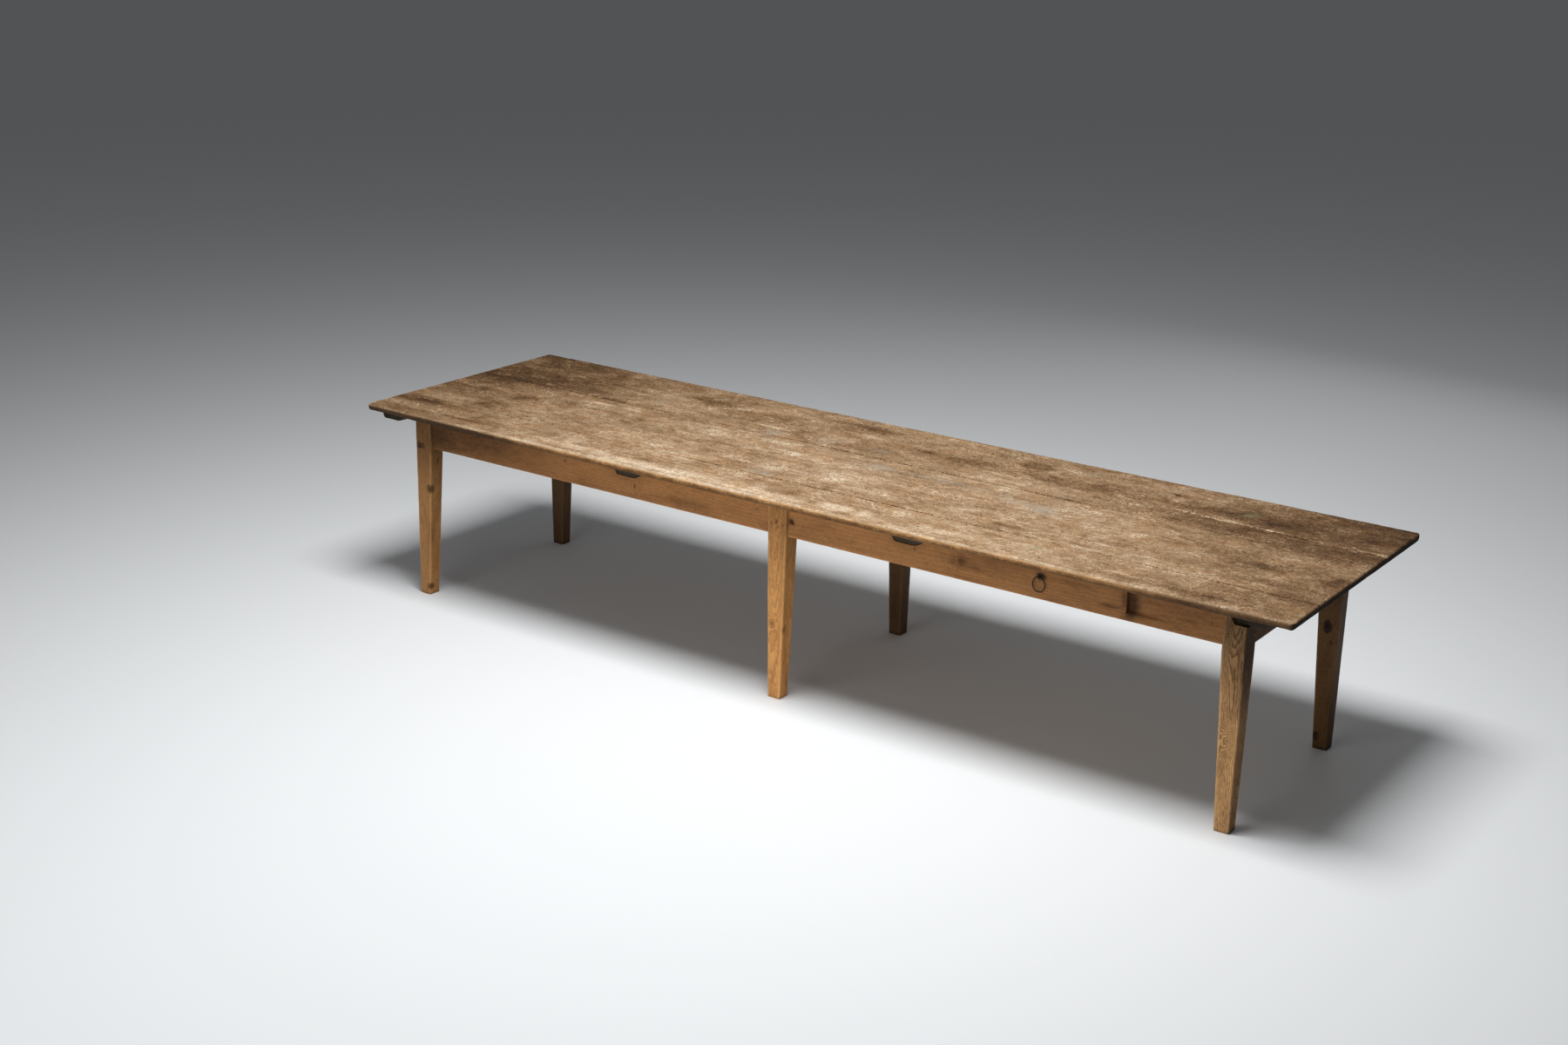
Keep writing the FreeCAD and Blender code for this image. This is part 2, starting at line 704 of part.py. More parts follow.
def nail(name, share, room, entry):
    """A nail up through the bottom into the back, or the hole for one."""
    x = f"places.inner_left + {share} * ({INNER_WIDTH})"
    y = "places.back_front + sizes.drawer_back_thickness / 2"
    head = rod(
        f"{name}_head",
        (x, y, f"places.bottom_low - {entry}"),
        f"sizes.nail_head_diameter / 2 + {room}",
        f"sizes.nail_head_height + {entry} + {room}",
    )
    shank = rod(
        f"{name}_shank",
        (x, y, "places.bottom_low"),
        f"sizes.nail_diameter / 2 + {room}",
        f"sizes.nail_length + {room}",
    )
    return fuse(name, [head, shank])


TAILS = [(side, i, share) for side in SIDE_LEFT for i, share in enumerate(TAIL_SHARES)]
sockets = [tail(f"{side}_socket_{i}", side, share, "sizes.groove_clearance") for side, i, share in TAILS]
grooves = bottom_board("bottom_grooves", "sizes.groove_clearance")
housings = back_board("back_housings", "sizes.groove_clearance")
staple_hole = rod(
    "staple_hole",
    ("places.drawer_middle", "places.front_face - sizes.overrun", "places.eye_level"),
    "places.staple_hole",
    "sizes.drawer_front_thickness + 2 * sizes.overrun",
    TO_BACK,
)
front_plain = block(
    "drawer_front_plain",
    ("places.drawer_left", "places.front_face", "places.drawer_low"),
    ("places.drawer_right - places.drawer_left", "sizes.drawer_front_thickness", SIDE_HEIGHT),
)
keep(cut("drawer_front", front_plain, sockets + [grooves, staple_hole]))
for side, left in SIDE_LEFT.items():
    board = block(
        f"drawer_{side}_board",
        (left, "places.front_back", "places.drawer_low"),
        ("sizes.drawer_side_thickness", "places.side_end - places.front_back", SIDE_HEIGHT),
    )
    grooved = cut(f"drawer_{side}_grooved", board, [grooves, housings])
    tails = [tail(f"{side}_tail_{i}", side, share, "0") for i, share in enumerate(TAIL_SHARES)]
    keep(fuse(f"drawer_{side}_side", [grooved] + tails))
nail_holes = [
    nail(f"nail_hole_{i}", share, "sizes.nail_clearance", "sizes.overrun")
    for i, share in enumerate(NAIL_SHARES)
]
keep(cut("drawer_back", back_board("drawer_back_plain", "0"), nail_holes))
keep(cut("drawer_bottom", bottom_board("drawer_bottom_plain", "0"), nail_holes))
group("drawer_nails", [nail(f"nail_{i}", share, "0", "0") for i, share in enumerate(NAIL_SHARES)])

# The ring pull: an eye whose two legs go through plate and drawer front and are bent over behind them


def staple():
    eye = bind(doc.addObject("Part::Torus", "staple_eye"), {
        "Radius1": "places.eye_radius",
        "Radius2": "sizes.eye_wire / 2",
    })
    put(eye, ("places.drawer_middle", "places.eye_front", "places.eye_level"), TO_RIGHT)
    pieces = [eye]
    for name, sign, turn in (("upper", "+", UP), ("lower", "-", DOWN)):
        level = f"places.eye_level {sign} places.leg_offset"
        start = "places.eye_front + sqrt(places.eye_radius ^ 2 - places.leg_offset ^ 2)"
        wire = "sizes.eye_wire / 2"
        pieces.append(rod(
            f"staple_{name}_leg",
            ("places.drawer_middle", start, level),
            wire,
            f"places.clench_line - ({start})",
            TO_BACK,
        ))
        elbow = bind(doc.addObject("Part::Sphere", f"staple_{name}_elbow"), {"Radius": wire})
        pieces.append(put(elbow, ("places.drawer_middle", "places.clench_line", level)))
        pieces.append(rod(
            f"staple_{name}_clench",
            ("places.drawer_middle", "places.clench_line", level),
            wire,
            "sizes.clench_length",
            turn,
        ))
    keep(fuse("ring_staple", pieces))


staple()
plate = rod(
    "plate_disc",
    ("places.drawer_middle", "places.front_face", "places.eye_level"),
    "sizes.plate_diameter / 2",
    "sizes.plate_thickness",
    TO_FRONT,
)
keep(cut("ring_plate", plate, [staple_hole]))
ring = bind(doc.addObject("Part::Torus", "pull_ring"), {
    "Radius1": "places.ring_radius",
    "Radius2": "sizes.ring_wire / 2",
})
ring_level = "places.ring_pivot - places.ring_radius"
keep(put(ring, ("places.drawer_middle", "places.eye_front", ring_level), TO_FRONT))

# Check every object, then write each sub-part

doc.recompute()
for item in doc.Objects:
    if "Invalid" in item.State or "Error" in item.State:
        raise RuntimeError(f"{item.Label} did not build")
for item in nodes:
    if item.Shape.isNull() or not item.Shape.isValid() or not item.Shape.Solids:
        raise RuntimeError(f"{item.Label} has no sound shape")

os.makedirs("parts", exist_ok=True)
for item in nodes:
    item.Shape.exportStep(f"parts/{item.Label}.step")
    print(item.Label, len(item.Shape.Solids), round(item.Shape.Volume))
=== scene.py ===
import math

import bpy
import numpy as np
from mathutils import Matrix, Vector, noise


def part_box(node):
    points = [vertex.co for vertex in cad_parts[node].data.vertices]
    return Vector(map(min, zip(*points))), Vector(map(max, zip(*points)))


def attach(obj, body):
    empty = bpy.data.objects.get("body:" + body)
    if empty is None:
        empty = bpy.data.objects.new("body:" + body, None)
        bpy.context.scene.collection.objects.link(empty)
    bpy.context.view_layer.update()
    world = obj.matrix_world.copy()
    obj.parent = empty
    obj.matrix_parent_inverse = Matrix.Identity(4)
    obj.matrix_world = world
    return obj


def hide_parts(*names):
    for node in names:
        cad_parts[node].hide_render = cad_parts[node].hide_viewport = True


# Looks of an old refectory table: worn boards, battens, legs and aprons stand for the plain solids,
# and every wood has growth rings that run through the whole piece. Lengths are in metres.

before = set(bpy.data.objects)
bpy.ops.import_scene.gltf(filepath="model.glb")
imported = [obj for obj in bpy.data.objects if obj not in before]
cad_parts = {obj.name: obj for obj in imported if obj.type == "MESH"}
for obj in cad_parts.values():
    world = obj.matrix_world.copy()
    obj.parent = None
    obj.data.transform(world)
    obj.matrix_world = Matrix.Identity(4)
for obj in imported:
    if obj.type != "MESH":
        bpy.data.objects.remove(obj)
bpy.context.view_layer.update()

MM = 0.001
X, Y, Z = range(3)


# Noise for wear, the same in every run


def drift(along, length, seed):
    """Noise of about -1 to 1 along a line, changing over the given length."""
    return np.array([noise.noise(Vector((a / length, seed * 1.37 + 0.5, seed * 0.71))) for a in along])


def waver(points, lengths, seed):
    """Noise of about -1 to 1 at points, changing over the given lengths along X, Y and Z."""
    flat = np.reshape(points, (-1, 3)) / np.array(lengths) + seed * np.array((1.37, 2.11, 0.71))
    return np.array([noise.noise(Vector(p)) for p in flat]).reshape(np.shape(points)[:-1])


def ease(values, start, end):
    """0 at start, 1 at end, and a smooth rise between them."""
    share = np.clip((np.asarray(values, float) - start) / (end - start), 0, 1)
    return share * share * (3 - 2 * share)


def bell(away, reach):
    """1 at no distance, and fading over the reach."""
    return np.exp(-((away / reach) ** 2))


# Swept bars: a ring of points at each station along the piece


ARC = np.linspace(0, math.pi / 2, 5)
SIGNS = np.array(((-1, -1), (1, -1), (1, 1), (-1, 1)))
FEW = (0.04, 0.14, 0.32, 0.5, 0.68, 0.86, 0.96)
HALF_JUMP = 0.2 * MM
SMOOTH_UP_TO = math.radians(42)


def stations(start, end, step, rounding, jumps=()):
    """Places along a bar and the draw-in at each, close together at rounded ends and paired at jumps."""
    turns = np.linspace(0, math.pi / 2, 4)
    offsets = rounding * (1 - np.cos(turns))
    inset = rounding * (1 - np.sin(turns))
    count = max(3, round((end - start - 2 * rounding) / step) + 1)
    middle = np.linspace(start + rounding, end - rounding, count)[1:-1]
    pairs = [at + side for at in jumps for side in (-HALF_JUMP, HALF_JUMP)]
    clear = [m for m in middle if all(abs(m - p) > MM for p in pairs)]
    middle = np.array(sorted(clear + pairs))
    place = np.concatenate([start + offsets, middle, (end - offsets)[::-1]])
    return place, np.concatenate([inset, np.zeros(len(middle)), inset[::-1]])


def corner_turn(bevel):
    """Points round a corner from one side to the other. A bevel of 1 cuts it straight, 0 rounds it."""
    share = ARC / ARC[-1]
    curved = np.stack([np.cos(ARC), np.sin(ARC)], -1)
    straight = np.stack([1 - share, share], -1)
    return curved * (1 - bevel) + straight * bevel


def rings(low, high, rounds, sides, bevel=0.0):
    """Outlines of a bar's sections, with worn corners, and each point's distance from an arris.

    low and high are the corners at each station, rounds the reach of the four corners' wear, and sides
    the shares at which points lie along the bottom, far, top and near side.
    """
    turn = corner_turn(bevel)
    arcs = []
    for k, sign in enumerate(SIGNS):
        reach = sign * rounds[:, k]
        corner = np.where(sign > 0, high, low)
        ordered = turn if k % 2 == 0 else turn[:, ::-1]
        arcs.append((corner - reach)[:, None] + reach[:, None] * ordered)
    points, away = [], []
    for k in range(4):
        shares = np.broadcast_to(sides[k], (len(low), np.shape(sides[k])[-1]))
        start, end = arcs[k][:, -1], arcs[(k + 1) % 4][:, 0]
        points += [arcs[k], start[:, None] + (end - start)[:, None] * shares[..., None]]
        length = np.linalg.norm(end - start, axis=1)[:, None]
        away += [np.zeros((len(low), len(ARC))), np.minimum(shares, 1 - shares) * length]
    return np.concatenate(points, 1), np.concatenate(away, 1)


def axes_across(axis):
    """The two axes across a bar, in the order of its sections' coordinates."""
    return [(axis + 1) % 3, (axis + 2) % 3]


def lay(place, outline, axis):
    """Points in space of the sections of a bar along an axis."""
    points = np.empty((*outline.shape[:2], 3))
    points[..., axis] = place[:, None]
    points[..., axes_across(axis)] = outline
    return points


def skin(count, around):
    """Faces of a swept bar: quads along it and one face over each end."""
    i, j = np.meshgrid(np.arange(count - 1), np.arange(around), indexing="ij")
    here, there = i * around + j, i * around + (j + 1) % around
    quads = np.stack([here, there, there + around, here + around], -1).reshape(-1, 4).tolist()
    return quads + [list(range(around))[::-1], list(range((count - 1) * around, count * around))]


def piece(name, points, faces, finishes, body, nodes, marks=None, pick=None):
    """A new piece that stands for CAD nodes, with named marks on its points for its finish to read."""
    mesh = bpy.data.meshes.new(name)
    mesh.from_pydata(np.reshape(points, (-1, 3)).tolist(), [], faces)
    for mark, values in (marks or {}).items():
        layer = mesh.attributes.new(mark, "FLOAT", "POINT")
        layer.data.foreach_set("value", np.ravel(values).astype(np.float32))
    for finish in finishes:
        mesh.materials.append(finish)
    if pick is not None:
        mesh.polygons.foreach_set("material_index", np.asarray(pick, np.int32))
    mesh.shade_smooth()
    mesh.set_sharp_from_angle(angle=SMOOTH_UP_TO)
    thing = bpy.data.objects.new(name, mesh)
    bpy.context.scene.collection.objects.link(thing)
    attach(thing, body)
    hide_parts(*nodes)
    return thing


# Finishes: shader maths as Python expressions


class Value:
    """A socket of a finish. Sums on it add Math nodes."""

    def __init__(self, finish, socket):
        self.finish, self.socket = finish, socket

    def maths(self, operation, *terms):
        return self.finish.add("Math", {"operation": operation}, terms)

    def __add__(self, other):
        return self.maths("ADD", self, other)

    def __radd__(self, other):
        return self.maths("ADD", other, self)

    def __sub__(self, other):
        return self.maths("SUBTRACT", self, other)

    def __rsub__(self, other):
        return self.maths("SUBTRACT", other, self)

    def __mul__(self, other):
        return self.maths("MULTIPLY", self, other)

    def __truediv__(self, other):
        return self.maths("DIVIDE", self, other)

    def __pow__(self, other):
        return self.maths("POWER", self, other)


class Finish:
    """A material and the nodes that make it."""

    def __init__(self, name):
        self.material = bpy.data.materials.new(name)
        self.material.use_nodes = True
        self.tree = self.material.node_tree
        self.tree.nodes.clear()

    def add(self, kind, settings=None, sockets=(), out=0):
        """Any node: its settings first, then the values or links of its sockets."""
        node = self.tree.nodes.new(f"ShaderNode{kind}")
        for name, value in (settings or {}).items():
            if name == "stops":
                self.set_stops(node.color_ramp.elements, value)
            else:
                setattr(node, name, value)
        for place, value in sockets.items() if isinstance(sockets, dict) else enumerate(sockets):
            if isinstance(value, Value):
                self.tree.links.new(value.socket, node.inputs[place])
            else:
                node.inputs[place].default_value = value
        return Value(self, node.outputs[out]) if node.outputs else node

    @staticmethod
    def set_stops(elements, stops):
        while len(elements) < len(stops):
            elements.new(1)
        for element, (place, colour) in zip(elements, stops):
            element.position, element.color = place, (*colour, 1)

    def places(self):
        """The piece's own coordinates, whole and one by one."""
        whole = self.add("TexCoord", out="Object")
        return whole, [self.add("SeparateXYZ", sockets=[whole], out=axis) for axis in "XYZ"]

    def vector(self, operation, first, second, out=0):
        """A sum on vectors."""
        return self.add("VectorMath", {"operation": operation}, (first, second), out)

    def stretched(self, whole, lengths, detail, roughness, shift=0.0, warp=0.0):
        """Noise of about -0.5 to 0.5 that changes over the given lengths."""
        scaled = self.vector("MULTIPLY", whole, [1 / length for length in lengths])
        moved = self.vector("ADD", scaled, (shift, shift * 1.7, shift * 0.6))
        pattern = self.add("TexNoise", {"noise_dimensions": "3D"}, {
            "Vector": moved, "Scale": 1.0, "Detail": detail, "Roughness": roughness, "Distortion": warp,
        })
        return pattern - 0.5

    def grained(self, whole, grain, along, across, *pattern):
        """Noise with its lengths along and across the grain given."""
        return self.stretched(whole, [along if axis == grain else across for axis in range(3)], *pattern)

    def step(self, value, start, end):
        """0 before start, 1 after end, smooth between. Start may be the larger."""
        return self.add("MapRange", {"interpolation_type": "SMOOTHSTEP"}, (value, start, end, 0.0, 1.0))

    def mark(self, name):
        """A value that the piece's points carry."""
        return self.add("Attribute", {"attribute_name": name}, out="Fac")

    def mix(self, share, first, second, blend="MIX"):
        """A colour between two."""
        ends = [c if isinstance(c, Value) else (*c, 1) for c in (first, second)]
        settings = {"data_type": "RGBA", "blend_type": blend, "clamp_factor": True}
        return self.add("Mix", settings, {0: share, 6: ends[0], 7: ends[1]}, out=2)

    def layered(self, colour, layers):
        """A colour under layers: a pattern, where it starts and is full, its strength and its tint."""
        for pattern, start, full, strength, tint in layers:
            colour = self.mix(self.step(pattern, start, full) * strength, colour, tint)
        return colour

    def ramp(self, value, stops):
        """A colour that runs through stops as the value rises."""
        return self.add("ValToRGB", {"stops": stops}, (value,))

    def spot(self, whole, centre, reach):
        """A soft spot, 1 at its centre and fading over the reach along each axis."""
        away = self.vector("SUBTRACT", whole, centre)
        scaled = self.vector("MULTIPLY", away, [1 / length for length in reach])
        squared = self.vector("DOT_PRODUCT", scaled, scaled, "Value")
        return self.add("Math", {"operation": "EXPONENT"}, (0 - squared,))

    def surface(self, colour, roughness, height, depth, strength, specular, metal=0.0):
        """The shader, with relief of the given depth."""
        relief = {"Strength": strength, "Distance": depth, "Height": height}
        shader = self.add("BsdfPrincipled", None, {
            "Base Color": colour, "Roughness": roughness, "Metallic": metal,
            "Specular IOR Level": specular, "Normal": self.add("Bump", None, relief, "Normal"),
        })
        self.add("OutputMaterial", None, {"Surface": shader})
        return self.material


def scrubbed_top():
    """Dry, scrubbed and stained pine of the top, grain along X."""
    f = Finish("scrubbed_top")
    whole, (_, _, z) = f.places()
    fibre = f.grained(whole, X, 0.045, 0.0026, 3, 0.6)
    streak = f.grained(whole, X, 0.26, 0.011, 3, 0.6, 3.1)
    mottle = f.grained(whole, X, 0.042, 0.03, 7, 0.72, 5.7, 0.6)
    patch = f.grained(whole, X, 0.16, 0.08, 3, 0.6, 7.7, 0.4)
    broad = f.grained(whole, X, 0.55, 0.22, 2, 0.5, 9.3)
    grit = f.grained(whole, X, 0.0062, 0.0085, 3, 0.65, 11.5, 0.4)
    dash = f.grained(whole, X, 0.01, 0.0105, 4, 0.68, 13.9, 0.8)
    dot = f.grained(whole, X, 0.0095, 0.01, 3, 0.62, 17.3, 0.7)
    ragged = f.grained(whole, X, 0.018, 0.017, 5, 0.74, 21.1)
    fleck = f.step(dash + patch * 0.4, 0.08, 0.14)
    pit = f.step(dot - patch * 0.3, -0.1, -0.17)
    speck = f.step(f.grained(whole, X, 0.007, 0.005, 0, 0.5, 25.7), 0.3, 0.34)
    scratch = f.step(f.grained(whole, X, 0.0022, 0.06, 1, 0.5, 19.0), 0.19, 0.25)
    dotted = f.step(f.grained(whole, X, 0.011, 0.05, 1, 0.5, 33.0), -0.08, 0.06)
    rusty = f.step(f.grained(whole, X, 0.12, 0.06, 4, 0.6, 29.3), -0.05, 0.18)
    stain, bare, grey, moss, joint, torn = (
        f.mark(name) for name in ("stain", "bare", "grey", "moss", "joint", "torn"))
    soiled_and_shaded = f.step(stain + ragged * 1.2 + mottle * 0.6 + streak * 0.7, 0.1, 1.05)
    splinter = f.step(torn * 0.5 + ragged * 1.5 + dash * 1.8, 0.5, 0.72)
    bared = f.step(bare + ragged * 1.6 + fibre * 0.6, 0.2, 1.0)
    tone = 0.5 + fibre * 0.24 + streak * 0.42 + mottle * 0.85 + grit * 0.68 + patch * 0.58 + broad * 0.35
    tone = tone + fleck * 0.24 - pit * 0.25 + scratch * 0.12 + speck * 0.35 - soiled_and_shaded * 0.36 + bared * 0.26
    tone = tone - joint * (0.06 + dotted * 0.42) + splinter * 0.4
    colour = f.ramp(tone, (
        (0.0, (0.045, 0.022, 0.009)),
        (0.25, (0.142, 0.077, 0.034)),
        (0.5, (0.31, 0.198, 0.109)),
        (0.72, (0.455, 0.333, 0.216)),
        (1.0, (0.7, 0.585, 0.445)),
    ))
    colour = f.mix(rusty * 0.45, colour, (1.04, 0.88, 0.7), "MULTIPLY")
    colour = f.layered(colour, (
        (grey + ragged * 2.2 + grit, 0.3, 1.2, 0.5, (0.34, 0.31, 0.25)),
        (moss + mottle * 0.8, 0.3, 0.9, 0.35, (0.22, 0.23, 0.1)),
    ))
    # The edges: mottled brown, dark in the pores, darker low down with dirt and painted shade, pale at the
    # arris, and black where stained, which on the right end's face is painted shade
    mottled = f.step(patch + mottle * 0.9 + grit * 0.5, -0.2, 0.25)
    brown = f.layered(f.mix(mottled, (0.31, 0.143, 0.054), (0.72, 0.385, 0.155)), (
        (fibre + grit * 0.5, 0.0, -0.2, 0.6, (0.1, 0.047, 0.019)),
        (z + ragged * 0.016, TOP - 13.5 * MM, TOP - 21.5 * MM, 0.64, (0.075, 0.036, 0.015)),
        (z + ragged * 0.01, TOP - 14.5 * MM, TOP - 7.5 * MM, 0.75, (0.95, 0.6, 0.3)),
        (stain + ragged * 0.5, 0.0, 0.6, 0.9, (0.05, 0.029, 0.017)),
        (stain + ragged * 0.3, 0.85, 1.1, 0.9, (0.012, 0.008, 0.005)),
    ))
    edge = f.step(z + grit * 0.004 + ragged * 0.008, TOP - 4.5 * MM, TOP - 9.2 * MM)
    height = fibre * 0.25 + streak * 0.4 + mottle * 0.7 + grit * 0.6 - pit * 0.5 + fleck * 0.25
    return f.surface(f.mix(edge, colour, brown), 0.82 + fibre * 0.2, height, 0.9 * MM, 0.7, 0.15)


def shaded(colour, share, lift=0.0):
    """A colour made darker or paler."""
    return [min(1, c * share + lift) for c in colour]


def pine(name, grain, pith, lean, spacing, early, late, knots=(), contrast=0.7, wave=0.012, shift=0.0,
         relief=0.35, rough=0.6):
    """Old pine with rings round a pith line, whose place and lean are given across the grain.

    early and late are the colours of a ring's soft and hard wood, and spacing is the width of a ring. A
    knot is given by its centre, its size along each axis, how far it pushes the rings and how dark it is.
    """
    f = Finish(name)
    whole, coordinates = f.places()
    along = coordinates[grain]
    across = [coordinates[axis] for axis in range(3) if axis != grain]
    aside = [value - (centre + along * slope) for value, centre, slope in zip(across, pith, lean)]
    distance = (aside[0] * aside[0] + aside[1] * aside[1]) ** 0.5
    wander = f.grained(whole, grain, 0.25, 0.05, 2, 0.5, shift)
    ripple = f.grained(whole, grain, 0.04, 0.01, 2, 0.5, shift + 2.6)
    fibre = f.grained(whole, grain, 0.09, 0.0022, 3, 0.6, shift + 4.2)
    speck = f.grained(whole, grain, 0.014, 0.0022, 2, 0.5, shift + 6.1)
    patina = f.grained(whole, grain, 0.24, 0.07, 3, 0.55, shift + 8.8)
    grime = f.grained(whole, grain, 0.05, 0.016, 7, 0.72, shift + 12.4, 0.4)
    sand = f.grained(whole, grain, 0.014, 0.0045, 4, 0.68, shift + 14.6, 0.4)
    ring = distance + wander * wave + ripple * wave * 0.3
    hearts = pupils = rims = 0.0
    for centre, size, push, dark in knots:
        ring = ring + f.spot(whole, centre, [length * 1.7 for length in size]) * push
        core = f.spot(whole, centre, size) + ripple * 0.4 + fibre * 0.2
        hearts = f.step(core, 0.25, 0.6) * dark + hearts
        pupils = f.step(core, 0.62, 0.98) * dark + pupils
        rims = f.step(core, 0.2, 0.34) * f.step(core, 0.62, 0.4) * (ripple * 1.7 + 0.45) * dark + rims
    turn = f.add("Math", {"operation": "FRACT"}, (ring / spacing,))
    dense = f.step(turn, 0.25, 0.85) * f.step(turn, 1.0, 0.92)
    shade = 0.5 + patina * 1.5 + fibre * 0.5
    colour = f.mix(dense * (0.95 + patina) * contrast + fibre * 0.8, early, late)
    colour = f.layered(colour, (
        (shade, 0.35, 0.9, 0.4, shaded(early, 1.4)),
        (shade, 0.55, 0.1, 0.6, shaded(late, 0.6)),
        (grime, 0.0, -0.25, 0.55, shaded(late, 0.5)),
        (grime, 0.02, 0.25, 0.4, shaded(early, 1.45)),
        (sand, 0.02, -0.2, 0.42, shaded(late, 0.55)),
        (sand, 0.04, 0.24, 0.34, shaded(early, 1.5)),
        (speck, -0.14, -0.23, 0.6, shaded(late, 0.4)),
    ))
    if knots:
        colour = f.mix(hearts * (0.5 + dense * 0.25), colour, shaded(late, 0.5))
        colour = f.mix(pupils * 0.7, colour, shaded(late, 0.17))
        colour = f.mix(rims * 0.7, colour, shaded(late, 0.16))
    worn = f.step(f.mark("wear") + patina * 0.9 + fibre * 0.4, 0.45, 1.1)
    colour = f.mix(worn * (1 - hearts) * 0.45, colour, shaded(early, 1.4, 0.02))
    # The stain mark darkens with dirt, and on legs, battens and aprons with painted shade as well
    sooty_and_shaded = f.step(f.mark("stain") + patina * 0.3 + grime * 0.9 + fibre * 0.3, 0.0, 1.0)
    colour = f.mix(sooty_and_shaded * 0.92, colour, shaded(late, 0.16))
    height = dense * 0.5 + fibre * 0.6 + patina * 0.3 + grime * 0.4 + sand * 0.3 - hearts * 0.3
    return f.surface(colour, rough + fibre * 0.25 + sooty_and_shaded * 0.15, height, relief * MM, 0.8, 0.2)


def rusted_iron():
    """Dark forged iron with patches of rust."""
    f = Finish("rusted_iron")
    whole, _ = f.places()
    scale = f.stretched(whole, (0.004, 0.004, 0.004), 4, 0.6)
    bloom = f.stretched(whole, (0.011, 0.011, 0.011), 3, 0.6, 5.0)
    rust = f.step(bloom + scale * 0.6, -0.05, 0.2)
    colour = f.mix(rust * 0.75, (0.028, 0.022, 0.018), (0.105, 0.05, 0.026))
    return f.surface(colour, 0.5 + rust * 0.35, scale + bloom * 0.6, 0.35 * MM, 0.8, 0.4, 0.55)


def dull_steel():
    """Steel of screws and nails, dulled by grime."""
    f = Finish("dull_steel")
    whole, _ = f.places()
    grime = f.stretched(whole, (0.003, 0.003, 0.003), 4, 0.6)
    colour = f.mix(f.step(grime, -0.1, 0.15), (0.28, 0.25, 0.22), (0.1, 0.07, 0.05))
    return f.surface(colour, 0.55 + grime * 0.3, grime, 0.1 * MM, 0.6, 0.5, 0.8)


# The three boards of the top


TOP_LOW, TOP_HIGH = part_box("front_board")[0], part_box("back_board")[1]
UNDERSIDE, TOP = TOP_LOW.z, TOP_HIGH.z
LEFT, RIGHT = TOP_LOW.x, TOP_HIGH.x
FRONT, BACK = TOP_LOW.y, TOP_HIGH.y
SPLIT_START, SPLIT_Y, SPLIT_SLOPE = 1.16, 0.25, -0.0347
END_STEPS = np.array((0, 0.4, 1.2, 2.6, 4.5, 7, 11, 16, 22, 29)) * MM
END_LENGTH = 36 * MM
MIDDLE_STATIONS = 388
CHIP_COUNT = 66
SEAM_REACH = 2.8 * MM
# Radii at the left and right end: the corners seen from above, and the ends' lower and upper arrises
CORNER_RADII = 14 * MM, 15 * MM
LOWER_RADII = 8 * MM, 10 * MM
UPPER_RADIUS = 6.5 * MM


def cad_points(node):
    """Points of a CAD node's mesh."""
    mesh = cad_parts[node].data
    flat = np.empty(len(mesh.vertices) * 3, np.float32)
    mesh.vertices.foreach_get("co", flat)
    return flat.reshape(-1, 3).astype(float)


def seam(node):
    """Y of a board's back edge at the left and right end of the top."""
    points = cad_points(node)
    return [points[abs(points[:, 0] - end) < 2 * MM][:, 1].max() for end in (LEFT, RIGHT)]


# Marks on the top: X, Y, half length, half width and strength
DARK_MARKS = (
    (-1.87, 0.05, 0.17, 0.12, 0.5), (-1.85, -0.09, 0.14, 0.06, 0.5), (-1.72, 0.2, 0.15, 0.05, 0.6),
    (-1.9, 0.32, 0.1, 0.12, 0.5), (-1.9, 0.5, 0.1, 0.06, 0.5), (-1.47, 0.45, 0.03, 0.05, 0.5),
    (-1.54, -0.08, 0.07, 0.035, 0.65), (-1.34, -0.01, 0.045, 0.025, 0.65), (-1.6, -0.27, 0.06, 0.03, 0.4),
    (-1.8, -0.37, 0.18, 0.03, 0.5), (-1.45, -0.475, 0.16, 0.01, 0.65), (-1.05, -0.33, 0.09, 0.05, 0.4),
    (-0.88, 0.36, 0.08, 0.045, 0.75), (-0.7, 0.0, 0.05, 0.04, 0.4), (-0.6, -0.13, 0.05, 0.04, 0.45),
    (-0.4, 0.0, 0.06, 0.02, 0.45), (-0.32, -0.155, 0.07, 0.009, 0.65), (-0.3, -0.21, 0.06, 0.011, 0.5),
    (-0.2, 0.44, 0.1, 0.04, 0.85), (-0.42, 0.28, 0.28, 0.05, 0.3), (0.13, 0.3, 0.06, 0.03, 0.55),
    (0.06, -0.07, 0.04, 0.03, 0.35), (0.35, 0.29, 0.11, 0.05, 0.45), (0.57, 0.4, 0.06, 0.035, 0.95),
    (0.4, 0.45, 0.06, 0.02, 0.5), (0.48, -0.03, 0.045, 0.02, 0.6), (0.64, 0.02, 0.03, 0.03, 0.6),
    (0.3, -0.365, 0.3, 0.014, 0.4), (0.9, 0.32, 0.08, 0.04, 0.55), (0.66, 0.3, 0.1, 0.06, 0.4),
    (1.28, 0.21, 0.25, 0.035, 0.45), (1.58, 0.17, 0.3, 0.05, 0.75), (1.5, 0.226, 0.22, 0.008, 1.1),
    (1.136, 0.408, 0.007, 0.009, 2.4), (1.91, 0.4, 0.07, 0.15, 0.75),
    (1.9, 0.52, 0.09, 0.05, 0.6), (1.5, 0.33, 0.3, 0.05, 0.45), (1.7, -0.12, 0.05, 0.03, 0.75),
    (1.62, -0.08, 0.14, 0.04, 0.2), (1.25, -0.22, 0.05, 0.02, 0.45), (1.8, -0.25, 0.16, 0.02, 0.4),
    (1.93, -0.13, 0.03, 0.05, 0.75), (1.55, -0.5, 0.32, 0.014, 0.4), (1.28, -0.37, 0.1, 0.014, 0.4),
)
